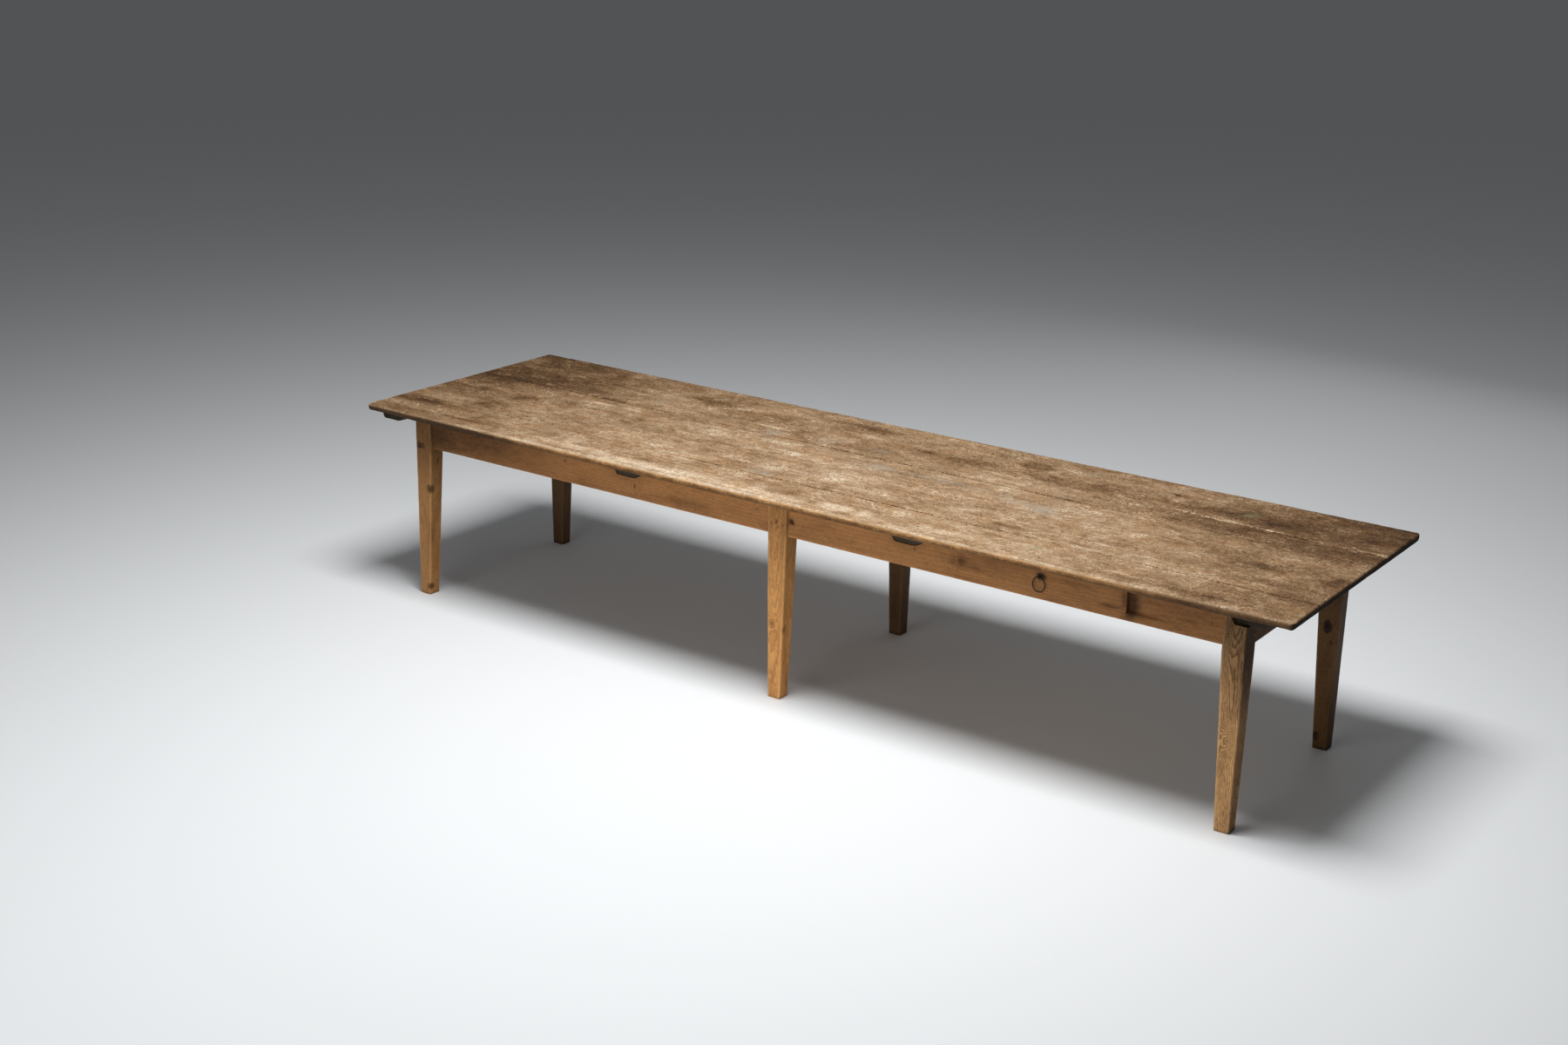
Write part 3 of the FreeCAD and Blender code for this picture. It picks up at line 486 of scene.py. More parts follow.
PALE_MARKS = (
    (-1.25, 0.056, 0.08, 0.013, 0.95), (-1.1, 0.055, 0.06, 0.013, 0.85), (-1.22, 0.276, 0.06, 0.01, 0.75),
    (-1.38, 0.215, 0.05, 0.009, 0.8), (-1.55, -0.022, 0.12, 0.008, 0.6), (-1.16, 0.0, 0.1, 0.007, 0.6),
    (-0.2, 0.347, 0.12, 0.008, 0.85), (0.05, 0.345, 0.1, 0.007, 0.55), (-0.5, 0.212, 0.1, 0.008, 0.95),
    (0.5, 0.227, 0.09, 0.012, 0.85), (0.27, 0.36, 0.05, 0.04, 0.5), (0.15, 0.5, 0.06, 0.03, 0.65),
    (0.28, -0.05, 0.1, 0.006, 0.6), (0.6, -0.055, 0.06, 0.006, 0.6), (0.36, -0.155, 0.04, 0.008, 0.6),
    (0.63, -0.22, 0.04, 0.02, 0.7), (-1.5, -0.458, 0.05, 0.008, 0.9), (-0.85, -0.49, 0.1, 0.02, 0.75),
    (-0.6, -0.5, 0.12, 0.02, 0.7), (-0.4, -0.487, 0.12, 0.02, 0.5), (-0.1, -0.5, 0.2, 0.025, 0.3),
    (0.28, -0.48, 0.06, 0.025, 0.95), (0.385, -0.485, 0.03, 0.03, 1.1), (0.76, -0.47, 0.12, 0.02, 0.75),
    (1.0, -0.43, 0.13, 0.03, 0.55), (1.35, -0.47, 0.04, 0.01, 0.8), (1.55, -0.42, 0.07, 0.02, 0.55),
    (-0.9, -0.23, 0.16, 0.06, 0.5), (0.12, -0.22, 0.18, 0.06, 0.5), (0.85, -0.245, 0.014, 0.01, 1.0),
    (1.05, 0.262, 0.06, 0.008, 0.7), (1.2, 0.254, 0.05, 0.007, 0.95), (1.4, 0.246, 0.08, 0.006, 1.2),
    (1.57, 0.24, 0.07, 0.006, 1.1), (1.75, 0.233, 0.09, 0.007, 1.1), (1.93, 0.236, 0.05, 0.012, 0.9),
    (1.3, 0.205, 0.06, 0.008, 0.6), (1.155, 0.345, 0.014, 0.045, 0.8), (1.12, 0.28, 0.05, 0.02, 0.6),
    (0.95, 0.045, 0.2, 0.005, 0.5), (1.2, -0.07, 0.3, 0.006, 0.55), (-1.69, -0.15, 0.006, 0.07, 0.6),
)
GREY_MARKS = (
    (-1.08, 0.24, 0.05, 0.045, 0.8), (-0.46, 0.155, 0.045, 0.03, 0.9), (-0.22, 0.2, 0.06, 0.06, 0.6),
    (0.0, 0.2, 0.08, 0.05, 0.5), (-0.18, -0.31, 0.06, 0.025, 0.9), (0.12, 0.02, 0.09, 0.03, 0.7),
    (0.42, 0.02, 0.22, 0.02, 0.5), (0.75, -0.02, 0.09, 0.015, 0.7), (0.84, -0.05, 0.055, 0.04, 1.0),
    (0.78, 0.45, 0.02, 0.03, 0.8), (-0.05, -0.45, 0.06, 0.02, 0.7), (0.8, 0.14, 0.05, 0.03, 0.5),
    (1.2, -0.54, 0.05, 0.01, 0.5),
)
MOSS_MARKS = (
    (1.38, 0.455, 0.03, 0.02, 0.8), (1.43, 0.36, 0.022, 0.03, 1.0), (1.02, -0.42, 0.012, 0.04, 1.0),
    (1.945, -0.46, 0.009, 0.045, 0.9), (0.0, 0.12, 0.05, 0.02, 0.5),
)


def blotted(points, marks, seed):
    """How strongly the marks lie at points, with wandering outlines."""
    x = points[..., 0] + 0.02 * waver(points, (0.08, 0.03, 1), seed)
    y = points[..., 1] + 0.008 * waver(points, (0.05, 0.03, 1), seed + 3)
    total = np.zeros(x.shape)
    for mark_x, mark_y, half_length, half_width, strength in marks:
        away = ((x - mark_x) / half_length) ** 2 + ((y - mark_y) / half_width) ** 2
        total = np.maximum(total, strength * np.exp(-0.7 * away))
    return total


def board_places():
    """Places along the top, close together at its worn ends."""
    inner = np.linspace(LEFT + END_LENGTH, RIGHT - END_LENGTH, MIDDLE_STATIONS)
    return np.concatenate([LEFT + END_STEPS, inner, (RIGHT - END_STEPS)[::-1]])


def quarter(away, radius):
    """How far a rounded corner of this radius draws in, at a distance from its end."""
    short = np.clip(radius - away, 0, radius)
    return radius - np.sqrt(radius**2 - short**2)


chips = np.random.default_rng(11)
CHIPS = np.stack([
    chips.uniform(LEFT, RIGHT, CHIP_COUNT),
    chips.uniform(5, 24, CHIP_COUNT) * MM,
    chips.uniform(0.8, 4.2, CHIP_COUNT) * MM,
], -1)


def chipped(along, which):
    """Depth of the chips out of an arris, taking every third chip from the given one."""
    depth = np.zeros(len(along))
    for place, length, deep in CHIPS[which::3]:
        depth = np.maximum(depth, deep * np.exp(-(((along - place) / length) ** 4)))
    return depth


def board_corners(place, front, back, seed):
    """Lower front and upper back corners of a board's sections."""
    from_left, from_right = place - LEFT, RIGHT - place
    share = from_left / (RIGHT - LEFT)
    near = front[0] + (front[1] - front[0]) * share
    far = back[0] + (back[1] - back[0]) * share
    corner = quarter(from_left, CORNER_RADII[0]) + quarter(from_right, CORNER_RADII[1])
    if front[0] == FRONT:
        ragged = 0.45 * (1 + drift(place, 0.35, seed)) + 0.65 * (1 + drift(place, 0.03, seed))
        near = near + corner + ragged * MM
    if back[0] == BACK:
        far = far - corner - 0.45 * MM * (1 + drift(place, 0.3, seed + 5))
    under = UNDERSIDE + quarter(from_left, LOWER_RADII[0]) + quarter(from_right, LOWER_RADII[1])
    upper = TOP - quarter(np.minimum(from_left, from_right), UPPER_RADIUS)
    return np.stack([near, under], -1), np.stack([far, upper], -1)


def board_rounds(place, outer, seed):
    """Reach of the four arrises' wear along a board. outer tells which of them lie on the outside."""
    thinned = 9.5 * ease(place, -1.6, -1.93) + 6.5 * ease(place, 1.72, 1.95)
    rounds = np.empty((len(place), 4, 2))
    for k, outside in enumerate(outer):
        if not outside:
            reach = 0.7 * (1 + 0.6 * drift(place, 0.12, seed + k)) * MM
        elif k in (2, 3):
            reach = 6 + 2 * drift(place, 0.2, seed + k) + 2.4 * drift(place, 0.026, seed + k)
            reach = reach * MM + chipped(place, k - 2)
        else:
            reach = 4.2 + 2.2 * drift(place, 0.09, seed + k) + 3 * drift(place, 0.022, seed + k)
            reach = (reach + thinned) * MM + chipped(place, 2)
        reach = np.clip(reach, 0.5 * MM, 13 * MM)
        rounds[:, k] = np.stack([reach * (1.25 if outside else 1), reach], -1)
    return rounds


def split_line(x):
    """Y of the split in the back board."""
    return SPLIT_Y + (x - SPLIT_START) * SPLIT_SLOPE


def upper_shares(place, near, far, width, split):
    """Shares at which points lie across a board's upper face, from the back to the front."""
    if not split:
        even = np.linspace(0, 1, round(width / (7 * MM)) + 2)[1:-1]
        return np.concatenate([even[:1] * 0.4, even, 1 - even[:1] * 0.4])
    # Lines of points run along both lips and the bottom of the split
    offsets = np.array((9, 4.5, 2, 0.6, -0.6, -2, -4.5, -9)) * MM
    lips = ((far - split_line(place))[:, None] - offsets) / (far - near)[:, None]
    behind = np.linspace(0, 1, 26)[1:-1] * lips[:, :1]
    before = lips[:, -1:] + (1 - lips[:, -1:]) * np.linspace(0, 1, 20)[1:-1]
    return np.concatenate([behind, lips, before], 1)


def wear_board(points, place, from_split, seed):
    """Hollow the upper face, open the split where there is one, and wear the ends unevenly."""
    upper = points[..., Z] > TOP - 7 * MM
    hollow = 0.35 * (1 + waver(points, (0.35, 0.1, 1), seed))
    hollow += 0.175 * (1 + waver(points, (0.06, 0.018, 1), seed + 2))
    hollow += 1.6 * ease(points[..., Y], FRONT + 70 * MM, FRONT)
    if from_split is not None:
        torn = ease(points[..., X], SPLIT_START, SPLIT_START + 0.25)
        torn *= 0.75 + 0.25 * drift(place, 0.05, 4)[:, None]
        hollow += 5 * bell(from_split, 1.5 * MM) * torn
    points[..., Z] -= np.where(upper, hollow * MM, 0)
    nearness = np.clip(1 - np.minimum(place - LEFT, RIGHT - place) / (40 * MM), 0, 1)
    inward = (np.where(place < 0, MM, -MM) * nearness)[:, None]
    points[..., X] += inward * 0.8 * (1 + waver(points, (1, 0.05, 0.02), seed + 7))
    points[..., X] += inward * 0.7 * (1 + waver(points, (1, 0.014, 0.02), seed + 8))


def board_marks(points, seed):
    """Stains, bare wood, grey wear and moss of a board, and painted shade on the right end's face."""
    x, y, z = np.moveaxis(points, -1, 0)
    stain = 0.72 * blotted(points, DARK_MARKS, seed)
    stain += 0.46 * ease(x, -0.85, -1.75) + 0.44 * ease(x, 0.95, 1.8) + 0.3 * ease(y, -0.04, 0.22)
    stain += 0.12 * ease(abs(x - 0.72), 0.5, 0.2) * ease(y, 0.1, 0.3)
    stain += np.where(z < TOP - 10 * MM, 0.28 * ease(x, -0.45, -1.5), 0)
    # Painted shade: the right end's face, turned away from the light, is darkened
    stain += np.where(z < TOP - 6 * MM, 0.6 * ease(x, RIGHT - 14 * MM, RIGHT - 5 * MM), 0)
    bare = blotted(points, PALE_MARKS, seed + 1)
    bare += 0.44 * ease(y, FRONT + 0.14, FRONT + 0.03) * (1 - 0.5 * ease(abs(x), 1.0, 1.9))
    bare += 0.35 * ease(y, FRONT + 12 * MM, FRONT + 5 * MM)
    bare += 0.25 * ease(x, RIGHT - 22 * MM, RIGHT - 8 * MM) + 0.5 * ease(x, LEFT + 22 * MM, LEFT + 8 * MM)
    middle = ease(abs(x - 0.1), 1.3, 0.5) * ease(abs(y + 0.08), 0.32, 0.15)
    return {
        "stain": stain,
        "bare": bare,
        "grey": blotted(points, GREY_MARKS, seed + 2) + 0.3 * middle,
        "moss": blotted(points, MOSS_MARKS, seed + 4),
    }


def seam_grime(place, in_front):
    """Dirt along a seam. The front seam shows little on the left, the back seam little on the right."""
    grimy = np.clip(0.8 + 0.5 * drift(place, 0.25, 6), 0.3, 1.05)
    faded = 0.25 + 0.75 * ease(place, -1.0, -0.6) if in_front else 1 - 0.7 * ease(place, 1.0, 1.25)
    return (grimy * faded)[:, None]


def top_board(name, front, back, seed):
    """One board of the top, between two lines given by their Y at the left and right end."""
    place = board_places()
    outer_near, outer_far = front[0] == FRONT, back[0] == BACK
    low, high = board_corners(place, front, back, seed)
    rounds = board_rounds(place, (outer_near, outer_far, outer_far, outer_near), seed)
    upper = upper_shares(place, low[:, 0], high[:, 0], back[0] - front[0], outer_far)
    under = np.linspace(0, 1, 14)[1:-1]
    outline, _ = rings(low, high, rounds, (under, (0.3, 0.7), upper, (0.2, 0.5, 0.8)))
    points = lay(place, outline, X)
    from_split = points[..., Y] - split_line(points[..., X]) if outer_far else None
    wear_board(points, place, from_split, seed)
    joint, torn = np.zeros(points.shape[:-1]), np.zeros(points.shape[:-1])
    if outer_far:
        strewn = ease(place, 0.95, 1.15) * np.clip(0.8 + 0.8 * drift(place, 0.06, 8), 0, 1.3)
        torn += strewn[:, None] * bell(from_split - 6 * MM, 19 * MM)
        joint += 0.9 * ease(points[..., X], 1.3, 1.75) * bell(from_split, 3 * MM)
    for outer, line, edge in ((outer_near, front, low), (outer_far, back, high)):
        if not outer:
            joint += seam_grime(place, line[0] < 0) * bell(points[..., Y] - edge[:, :1], SEAM_REACH)
    marks = {**board_marks(points, seed), "joint": joint, "torn": torn}
    faces = skin(*points.shape[:2])
    heights = points[..., Z].ravel()
    below = [heights[face].mean() < UNDERSIDE + MM for face in faces]
    piece(f"worn_{name}", points, faces, (TOP_FINISH, UNDER_FINISH), "frame", (name,),
          marks, below)


BOARD_GAP = 0.8 * MM
FIRST_SEAM, SECOND_SEAM = seam("front_board"), seam("middle_board")
TOP_FINISH = scrubbed_top()
UNDER_FINISH = pine("sawn_underside", X, (0.0, -0.4), (0.01, 0.02), 0.009,
                    (0.3, 0.2, 0.12), (0.16, 0.095, 0.05), contrast=0.5, shift=31.0, rough=0.85)
top_board("front_board", (FRONT, FRONT), FIRST_SEAM, 1)
top_board("middle_board", [y + BOARD_GAP for y in FIRST_SEAM], SECOND_SEAM, 12)
top_board("back_board", [y + BOARD_GAP for y in SECOND_SEAM], (BACK, BACK), 23)


# Plain bars with worn arrises: legs, aprons, rails and the drawer's front


ARRIS_REACH = 7 * MM


def worn_rounds(place, base, seed):
    """Reach of the four arrises' wear along a bar."""
    reach = [
        base * (1 + 0.5 * drift(place, 0.16, seed + k) + 0.3 * drift(place, 0.03, seed + k + 9))
        for k in range(4)
    ]
    return np.clip(np.stack(reach, 1), 0.3 * base, 3 * base)[..., None] * np.ones(2)


def near_arris(apart):
    """1 on an arris, and fading away from it."""
    return np.exp(-apart / ARRIS_REACH)


def bar(node, axis, low, high, finish, seed, body="frame", base=2 * MM, rounding=0.5 * MM, step=12 * MM,
        jumps=(), limits=None, shape=None, near_side=FEW, uneven=0.5 * MM, stain=None):
    """A worn bar along an axis. limits changes the sections' corners, shape the points, stain their dirt and
    painted shade.
    """
    across = axes_across(axis)
    place, drawn = stations(low[axis], high[axis], step, rounding, jumps)
    lows = np.array([[low[a] for a in across]] * len(place)) + drawn[:, None]
    highs = np.array([[high[a] for a in across]] * len(place)) - drawn[:, None]
    if limits:
        limits(place, lows, highs)
    rounds = np.minimum(worn_rounds(place, base, seed), 0.45 * (highs - lows).min(1)[:, None, None])
    outline, apart = rings(lows, highs, rounds, (FEW, FEW, FEW, near_side))
    points = lay(place, outline, axis)
    if shape:
        shape(points)
    middle = lay(place, (lows + highs)[:, None] / 2, axis)
    lengths = [0.3 if a == axis else 0.06 for a in range(3)]
    dent = uneven * (1 + waver(points, lengths, seed)) / 2
    for a in across:
        off = points[..., a] - middle[..., a]
        points[..., a] -= np.sign(off) * dent * (abs(off) > 4 * MM)
    marks = {"wear": near_arris(apart), "stain": stain(points) if stain else np.zeros(apart.shape)}
    piece(f"worn_{node}", points, skin(*points.shape[:2]), (finish,), body, (node,), marks)


# Legs


# The back legs' colours are made darker as painted shade, for the shade under the table
SHADED_LEG_COLOURS = (0.17, 0.09, 0.036), (0.09, 0.042, 0.016)
LEG_FINISHES = {
    "front_left_leg": pine(
        "front_left_pine", Z, (-1.53, -0.5), (0.02, 0.02), 0.0065,
        (0.43, 0.212, 0.072), (0.25, 0.106, 0.033), (
            ((-1.706, -0.518, 0.628), (0.021, 0.03, 0.012), 0.016, 1.2),
            ((-1.71, -0.518, 0.619), (0.016, 0.03, 0.005), 0.003, 1.4),
            ((-1.66, -0.514, 0.452), (0.016, 0.018, 0.018), 0.024, 1.15),
            ((-1.675, -0.512, 0.036), (0.015, 0.016, 0.014), 0.02, 1.1),
            ((-1.712, -0.518, 0.315), (0.002, 0.03, 0.02), 0.001, 0.9),
            ((-1.648, -0.478, 0.565), (0.004, 0.005, 0.014), 0.003, 1.0),
            ((-1.646, -0.46, 0.47), (0.005, 0.006, 0.009), 0.003, 0.9),
        ), contrast=0.42, shift=2.0),
    "front_middle_leg": pine(
        "front_middle_pine", Z, (0.03, -0.452), (0.015, -0.055), 0.0052,
        (0.76, 0.368, 0.118), (0.42, 0.158, 0.041), (
            ((0.031, -0.518, 0.286), (0.011, 0.03, 0.015), 0.014, 0.68),
            ((0.074, -0.506, 0.268), (0.009, 0.012, 0.017), 0.014, 0.72),
            ((0.04, -0.518, 0.668), (0.005, 0.03, 0.008), 0.003, 1.0),
            ((0.047, -0.518, 0.652), (0.003, 0.03, 0.007), 0.002, 1.0),
        ), contrast=0.62, wave=0.014, shift=5.0),
    "front_right_leg": pine(
        "front_right_pine", Z, (1.842, -0.473), (-0.085, -0.05), 0.0043,
        (0.64, 0.355, 0.145), (0.13, 0.056, 0.019), (
            ((1.781, -0.518, 0.315), (0.013, 0.03, 0.03), 0.037, 0.0),
            ((1.775, -0.518, 0.312), (0.003, 0.03, 0.004), 0.002, 0.9),
            ((1.79, -0.518, 0.6), (0.012, 0.03, 0.09), 0.02, 0.0),
        ), contrast=0.92, wave=0.018, shift=8.0, relief=0.8),
    "back_left_leg": pine(
        "back_left_pine", Z, (-1.62, 0.3), (0.01, 0.03), 0.007,
        *SHADED_LEG_COLOURS, contrast=0.5, shift=11.0),
    "back_middle_leg": pine(
        "back_middle_pine", Z, (0.14, 0.33), (0.02, 0.01), 0.007,
        *SHADED_LEG_COLOURS, contrast=0.5, shift=14.0),
    "back_right_leg": pine(
        "back_right_pine", Z, (1.68, 0.3), (0.01, -0.02), 0.007,
        # Colours made darker as painted shade, for the shade under the table
        (0.18, 0.09, 0.029), (0.084, 0.038, 0.012), (
            ((1.774, 0.275, 0.456), (0.017, 0.03, 0.021), 0.025, 2.0),
            ((1.792, 0.276, 0.4), (0.006, 0.03, 0.008), 0.008, 0.8),
            ((1.766, 0.271, 0.045), (0.017, 0.03, 0.018), 0.018, 1.6),
        ), contrast=0.5, shift=17.0),
}
# How dark the upper end is, with dirt and painted shade, the level where that starts, and how dark the right
# face is painted as shade
LEG_SOOT_AND_SHADE = {
    "front_left_leg": (0.62, 0.28, 0.0),
    "front_middle_leg": (0.42, 0.22, 0.1),
    "front_right_leg": (0.66, 0.32, 0.5),
    "back_left_leg": (0.4, 0.3, 0.0),
    "back_middle_leg": (0.3, 0.3, 0.0),
    "back_right_leg": (0.4, 0.3, 0.25),
}
TAPER_TOP = UNDERSIDE - 129 * MM
# The right end batten is let into the right legs and lies on the right end apron
END_BATTEN_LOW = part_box("right_end_batten")[0]
CLEARANCE = 0.8 * MM
# Hewn lower corners of a batten: width and height
LEFT_HEWN = 12 * MM, 14 * MM
RIGHT_HEWN = 40 * MM, 23 * MM
HEWN_BEVEL = 0.4


def worn_leg(node, seed):
    """A leg that tapers to its foot, darker at the top with dirt and painted shade, and cut for the end
    batten on the right.
    """
    low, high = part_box(node)
    foot = cad_points(node)
    foot = foot[foot[:, Z] < 0.5 * MM]
    foot_low, foot_high = foot.min(0)[:2], foot.max(0)[:2]
    housing = END_BATTEN_LOW.z - CLEARANCE if node.endswith("right_leg") else None

    def taper(place, lows, highs):
        share = np.clip(place / TAPER_TOP, 0, 1)[:, None]
        lows += (1 - share) * (foot_low - np.array(low[:2]))
        highs += (1 - share) * (foot_high - np.array(high[:2]))
        if housing:
            above = place > housing
            width, height = LEFT_HEWN
            slope = np.clip(1 - (place - END_BATTEN_LOW.z) / height, 0, 1) * width
            highs[above, 0] = (END_BATTEN_LOW.x - CLEARANCE + slope)[above]

    def sooted_and_shaded(points):
        strength, level, beside = LEG_SOOT_AND_SHADE[node]
        # Painted shade: the back legs darker towards the bottom, every leg darker towards the top under the
        # table, and the right face darker. The band at the foot is dirt.
        foot_dirt_and_shade = 0.4 * ease(points[..., Z], 0.014, 0.0)
        if node.startswith("back"):
            foot_dirt_and_shade = foot_dirt_and_shade + 0.3 * ease(points[..., Z], 0.5, 0.05)
        shaded_right_face = beside * ease(points[..., X], foot_high[X] - 9 * MM, foot_high[X] - 3 * MM)
        return foot_dirt_and_shade + shaded_right_face + strength * ease(points[..., Z], level, 0.72)

    bar(node, Z, low, high, LEG_FINISHES[node], seed, base=4.6 * MM, rounding=3 * MM, step=8 * MM,
        jumps=(housing,) if housing else (), limits=taper, uneven=1.5 * MM, stain=sooted_and_shaded)


for seed, node in enumerate(LEG_FINISHES):
    worn_leg(node, 40 + 7 * seed)


# Aprons and rails


DRAWER_LOW, DRAWER_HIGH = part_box("drawer_front")
RAIL_TOP = DRAWER_LOW.z - 0.3 * MM
OPENING = [DRAWER_LOW.x - 1.5 * MM, DRAWER_HIGH.x + 1.5 * MM]
# The face right of the drawer is worn back, and comes forward again over a length
HOLLOW_LENGTH, HOLLOW_DEPTH = 172 * MM, 14 * MM
# How tightly a notch holds its batten, and how far an apron's end sinks into its leg
NOTCH_GRIP = 0.5 * MM
SHOULDER = 2 * MM
# Points lie close together where the opening's rail ends
FACE_SHARES = (0.07, 0.14, 0.3, 0.5, 0.62, 0.68, 0.71, 0.735, 0.755, 0.775, 0.795, 0.9)


def hewn(inset, corner):
    """Height of a batten's hewn corner above its underside, at a distance from its side."""
    width, height = corner
    turn = corner_turn(HEWN_BEVEL)
    return height * (1 - np.interp(inset / width, 1 - turn[:, 0], turn[:, 1]))


def notched(batten, place, heights):
    """Lower the upper edge where a batten drops in, along its hewn underside."""
    low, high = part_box(batten)
    from_left, from_right = place - low.x + CLEARANCE, high.x - place + CLEARANCE
    inside = (from_left > 0) & (from_right > 0)
    corners = np.maximum(hewn(from_left, LEFT_HEWN), hewn(from_right, RIGHT_HEWN))
    heights[inside] = low.z + corners[inside] + NOTCH_GRIP


def apron_dirt_and_shade(smudges):
    """Dirt and painted shade of an apron's face: darker at its ends, painted shade just under the top, and
    smudges: X, Z, half length, half height, strength.
    """
    def smudged_and_shaded(points):
        x, _, z = np.moveaxis(points, -1, 0)
        total = np.zeros(x.shape)
        for middle_x, middle_z, half_length, half_height, strength in smudges:
            smudge = bell(x - middle_x, half_length) * bell(z - middle_z, half_height)
            total = np.maximum(total, strength * smudge)
        total += 0.5 * ease(x, -0.3, -1.75) + 0.36 * ease(x, 0.3, 1.7)
        # Painted shade: darker just under the top, where its overhang shades the face
        return total + 0.35 * ease(z, UNDERSIDE - 22 * MM, UNDERSIDE)
    return smudged_and_shaded


LEFT_SMUDGES = (
    (-1.63, 0.68, 0.16, 0.06, 0.42), (-1.4, 0.69, 0.25, 0.05, 0.3), (-0.645, 0.712, 0.085, 0.03, 0.5),
)
# The smudges at X 0.1 paint the shade of a small hole, and the one at X 1.41 the shadow in the hollow beside
# the drawer's right end
RIGHT_SMUDGES_AND_SHADE = (
    (0.76, 0.685, 0.02, 0.02, 0.62), (0.72, 0.69, 0.05, 0.02, 0.3), (0.575, 0.705, 0.085, 0.03, 0.4),
    (0.098, 0.677, 0.008, 0.006, 2.0), (0.105, 0.673, 0.01, 0.003, 1.4),
    (1.412, 0.675, 0.024, 0.05, 0.8), (1.6, 0.69, 0.12, 0.04, 0.15),
)


def long_apron(node, batten, finish, seed, opened=False, stain=None):
    """An apron along the front or the back, notched for a batten and, if opened, for the drawer."""
    low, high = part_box(node)
    side, _, end = node.split("_")
    first, second = ("left", "middle") if end == "left" else ("middle", "right")
    low.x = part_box(f"{side}_{first}_leg")[1].x - SHOULDER
    high.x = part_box(f"{side}_{second}_leg")[0].x + SHOULDER
    batten_low, batten_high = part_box(batten)
    jumps = [batten_low.x - CLEARANCE, batten_high.x + CLEARANCE] + (OPENING if opened else [])

    def upper_edge(place, lows, highs):
        notched(batten, place, highs[:, 1])
        if opened:
            inside = (place > OPENING[0]) & (place < OPENING[1])
            highs[inside, 1] = RAIL_TOP

    def hollow(points):
        beyond = points[..., X] - OPENING[1]
        beside = np.clip(1 - beyond / HOLLOW_LENGTH, 0, 1) * (beyond > 0)
        above = ease(points[..., Z], RAIL_TOP - MM, RAIL_TOP + 9 * MM)
        facing = points[..., Y] < (low.y + high.y) / 2
        points[..., Y] += np.where(facing, HOLLOW_DEPTH * beside * above, 0)

    bar(node, X, low, high, finish, seed, step=10 * MM, jumps=jumps, limits=upper_edge,
        shape=hollow if opened else None, near_side=FACE_SHARES, stain=stain)


FRONT_COLOURS = (0.45, 0.204, 0.067), (0.29, 0.116, 0.034)
BACK_COLOURS = (0.42, 0.2, 0.07), (0.26, 0.11, 0.036)
FRONT_LEFT_PINE = pine(
    "front_apron_pine", X, (-0.6, 0.5), (0.012, 0.008), 0.011, *FRONT_COLOURS, (
        ((-0.95, -0.508, 0.704), (0.008, 0.03, 0.009), 0.016, 0.6),
        ((-0.611, -0.508, 0.668), (0.006, 0.03, 0.01), 0.022, 1.0),
        ((-1.395, -0.508, 0.716), (0.007, 0.03, 0.007), 0.014, 0.6),
        ((-0.42, -0.508, 0.67), (0.02, 0.03, 0.03), 0.03, 0.1),
    ), contrast=0.4, shift=21.0)
FRONT_RIGHT_PINE = pine(
    "drawer_apron_pine", X, (-0.65, 0.55), (0.01, 0.012), 0.011, *FRONT_COLOURS, (
        ((0.607, -0.508, 0.69), (0.005, 0.03, 0.008), 0.022, 0.7),
        ((1.69, -0.508, 0.68), (0.006, 0.03, 0.007), 0.018, 0.45),
        ((1.615, -0.508, 0.626), (0.006, 0.03, 0.004), 0.008, 0.5),
    ), contrast=0.4, shift=24.0)
BACK_PINE = pine(
    "back_apron_pine", X, (0.9, 0.5), (0.01, -0.012), 0.011, *BACK_COLOURS, contrast=0.5, shift=27.0)
CROSS_PINE = pine(
    "end_apron_pine", Y, (1.2, 0.5), (0.02, 0.012), 0.011, *BACK_COLOURS, contrast=0.5, shift=29.0)
long_apron("front_apron_left", "left_batten", FRONT_LEFT_PINE, 101, stain=apron_dirt_and_shade(LEFT_SMUDGES))
long_apron("front_apron_right", "right_batten", FRONT_RIGHT_PINE, 108, True, apron_dirt_and_shade(RIGHT_SMUDGES_AND_SHADE))
long_apron("back_apron_left", "left_batten", BACK_PINE, 115)
long_apron("back_apron_right", "right_batten", BACK_PINE, 122)


# Each cross piece's legs and how dark it is: dirt, and on the right end apron mostly painted shade
CROSS_APRONS = {
    "left_end_apron": ("left", 0.2),
    "cross_rail": ("middle", 0.2),
    "right_end_apron": ("right", 0.85),
}


def cross_apron(node, seed):
    """An apron or rail between a front and a back leg."""
    low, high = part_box(node)
    column, soot_and_shade = CROSS_APRONS[node]
    low.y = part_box(f"front_{column}_leg")[1].y - SHOULDER
    high.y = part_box(f"back_{column}_leg")[0].y + SHOULDER
    if column == "right":
        high.z = END_BATTEN_LOW.z - CLEARANCE
    bar(node, Y, low, high, CROSS_PINE, seed, stain=lambda points: np.full(points.shape[:-1], soot_and_shade))


for seed, node in enumerate(CROSS_APRONS):
    cross_apron(node, 130 + 7 * seed)


# Battens, hewn to a boat-like section


BATTEN_WOOD = pine("hewn_batten", Y, (0.4, 0.2), (0.02, 0.03), 0.01, (0.085, 0.066, 0.045),
                   (0.036, 0.027, 0.018), contrast=0.4, shift=33.0, relief=0.8, rough=0.8)
# How dark each batten is, with dirt and with painted shade where it lies in the shade under the top
BATTEN_SOOT_AND_SHADE = {"left_end_batten": 0.6, "left_batten": 0.3, "right_batten": 0.3, "right_end_batten": 0.5}


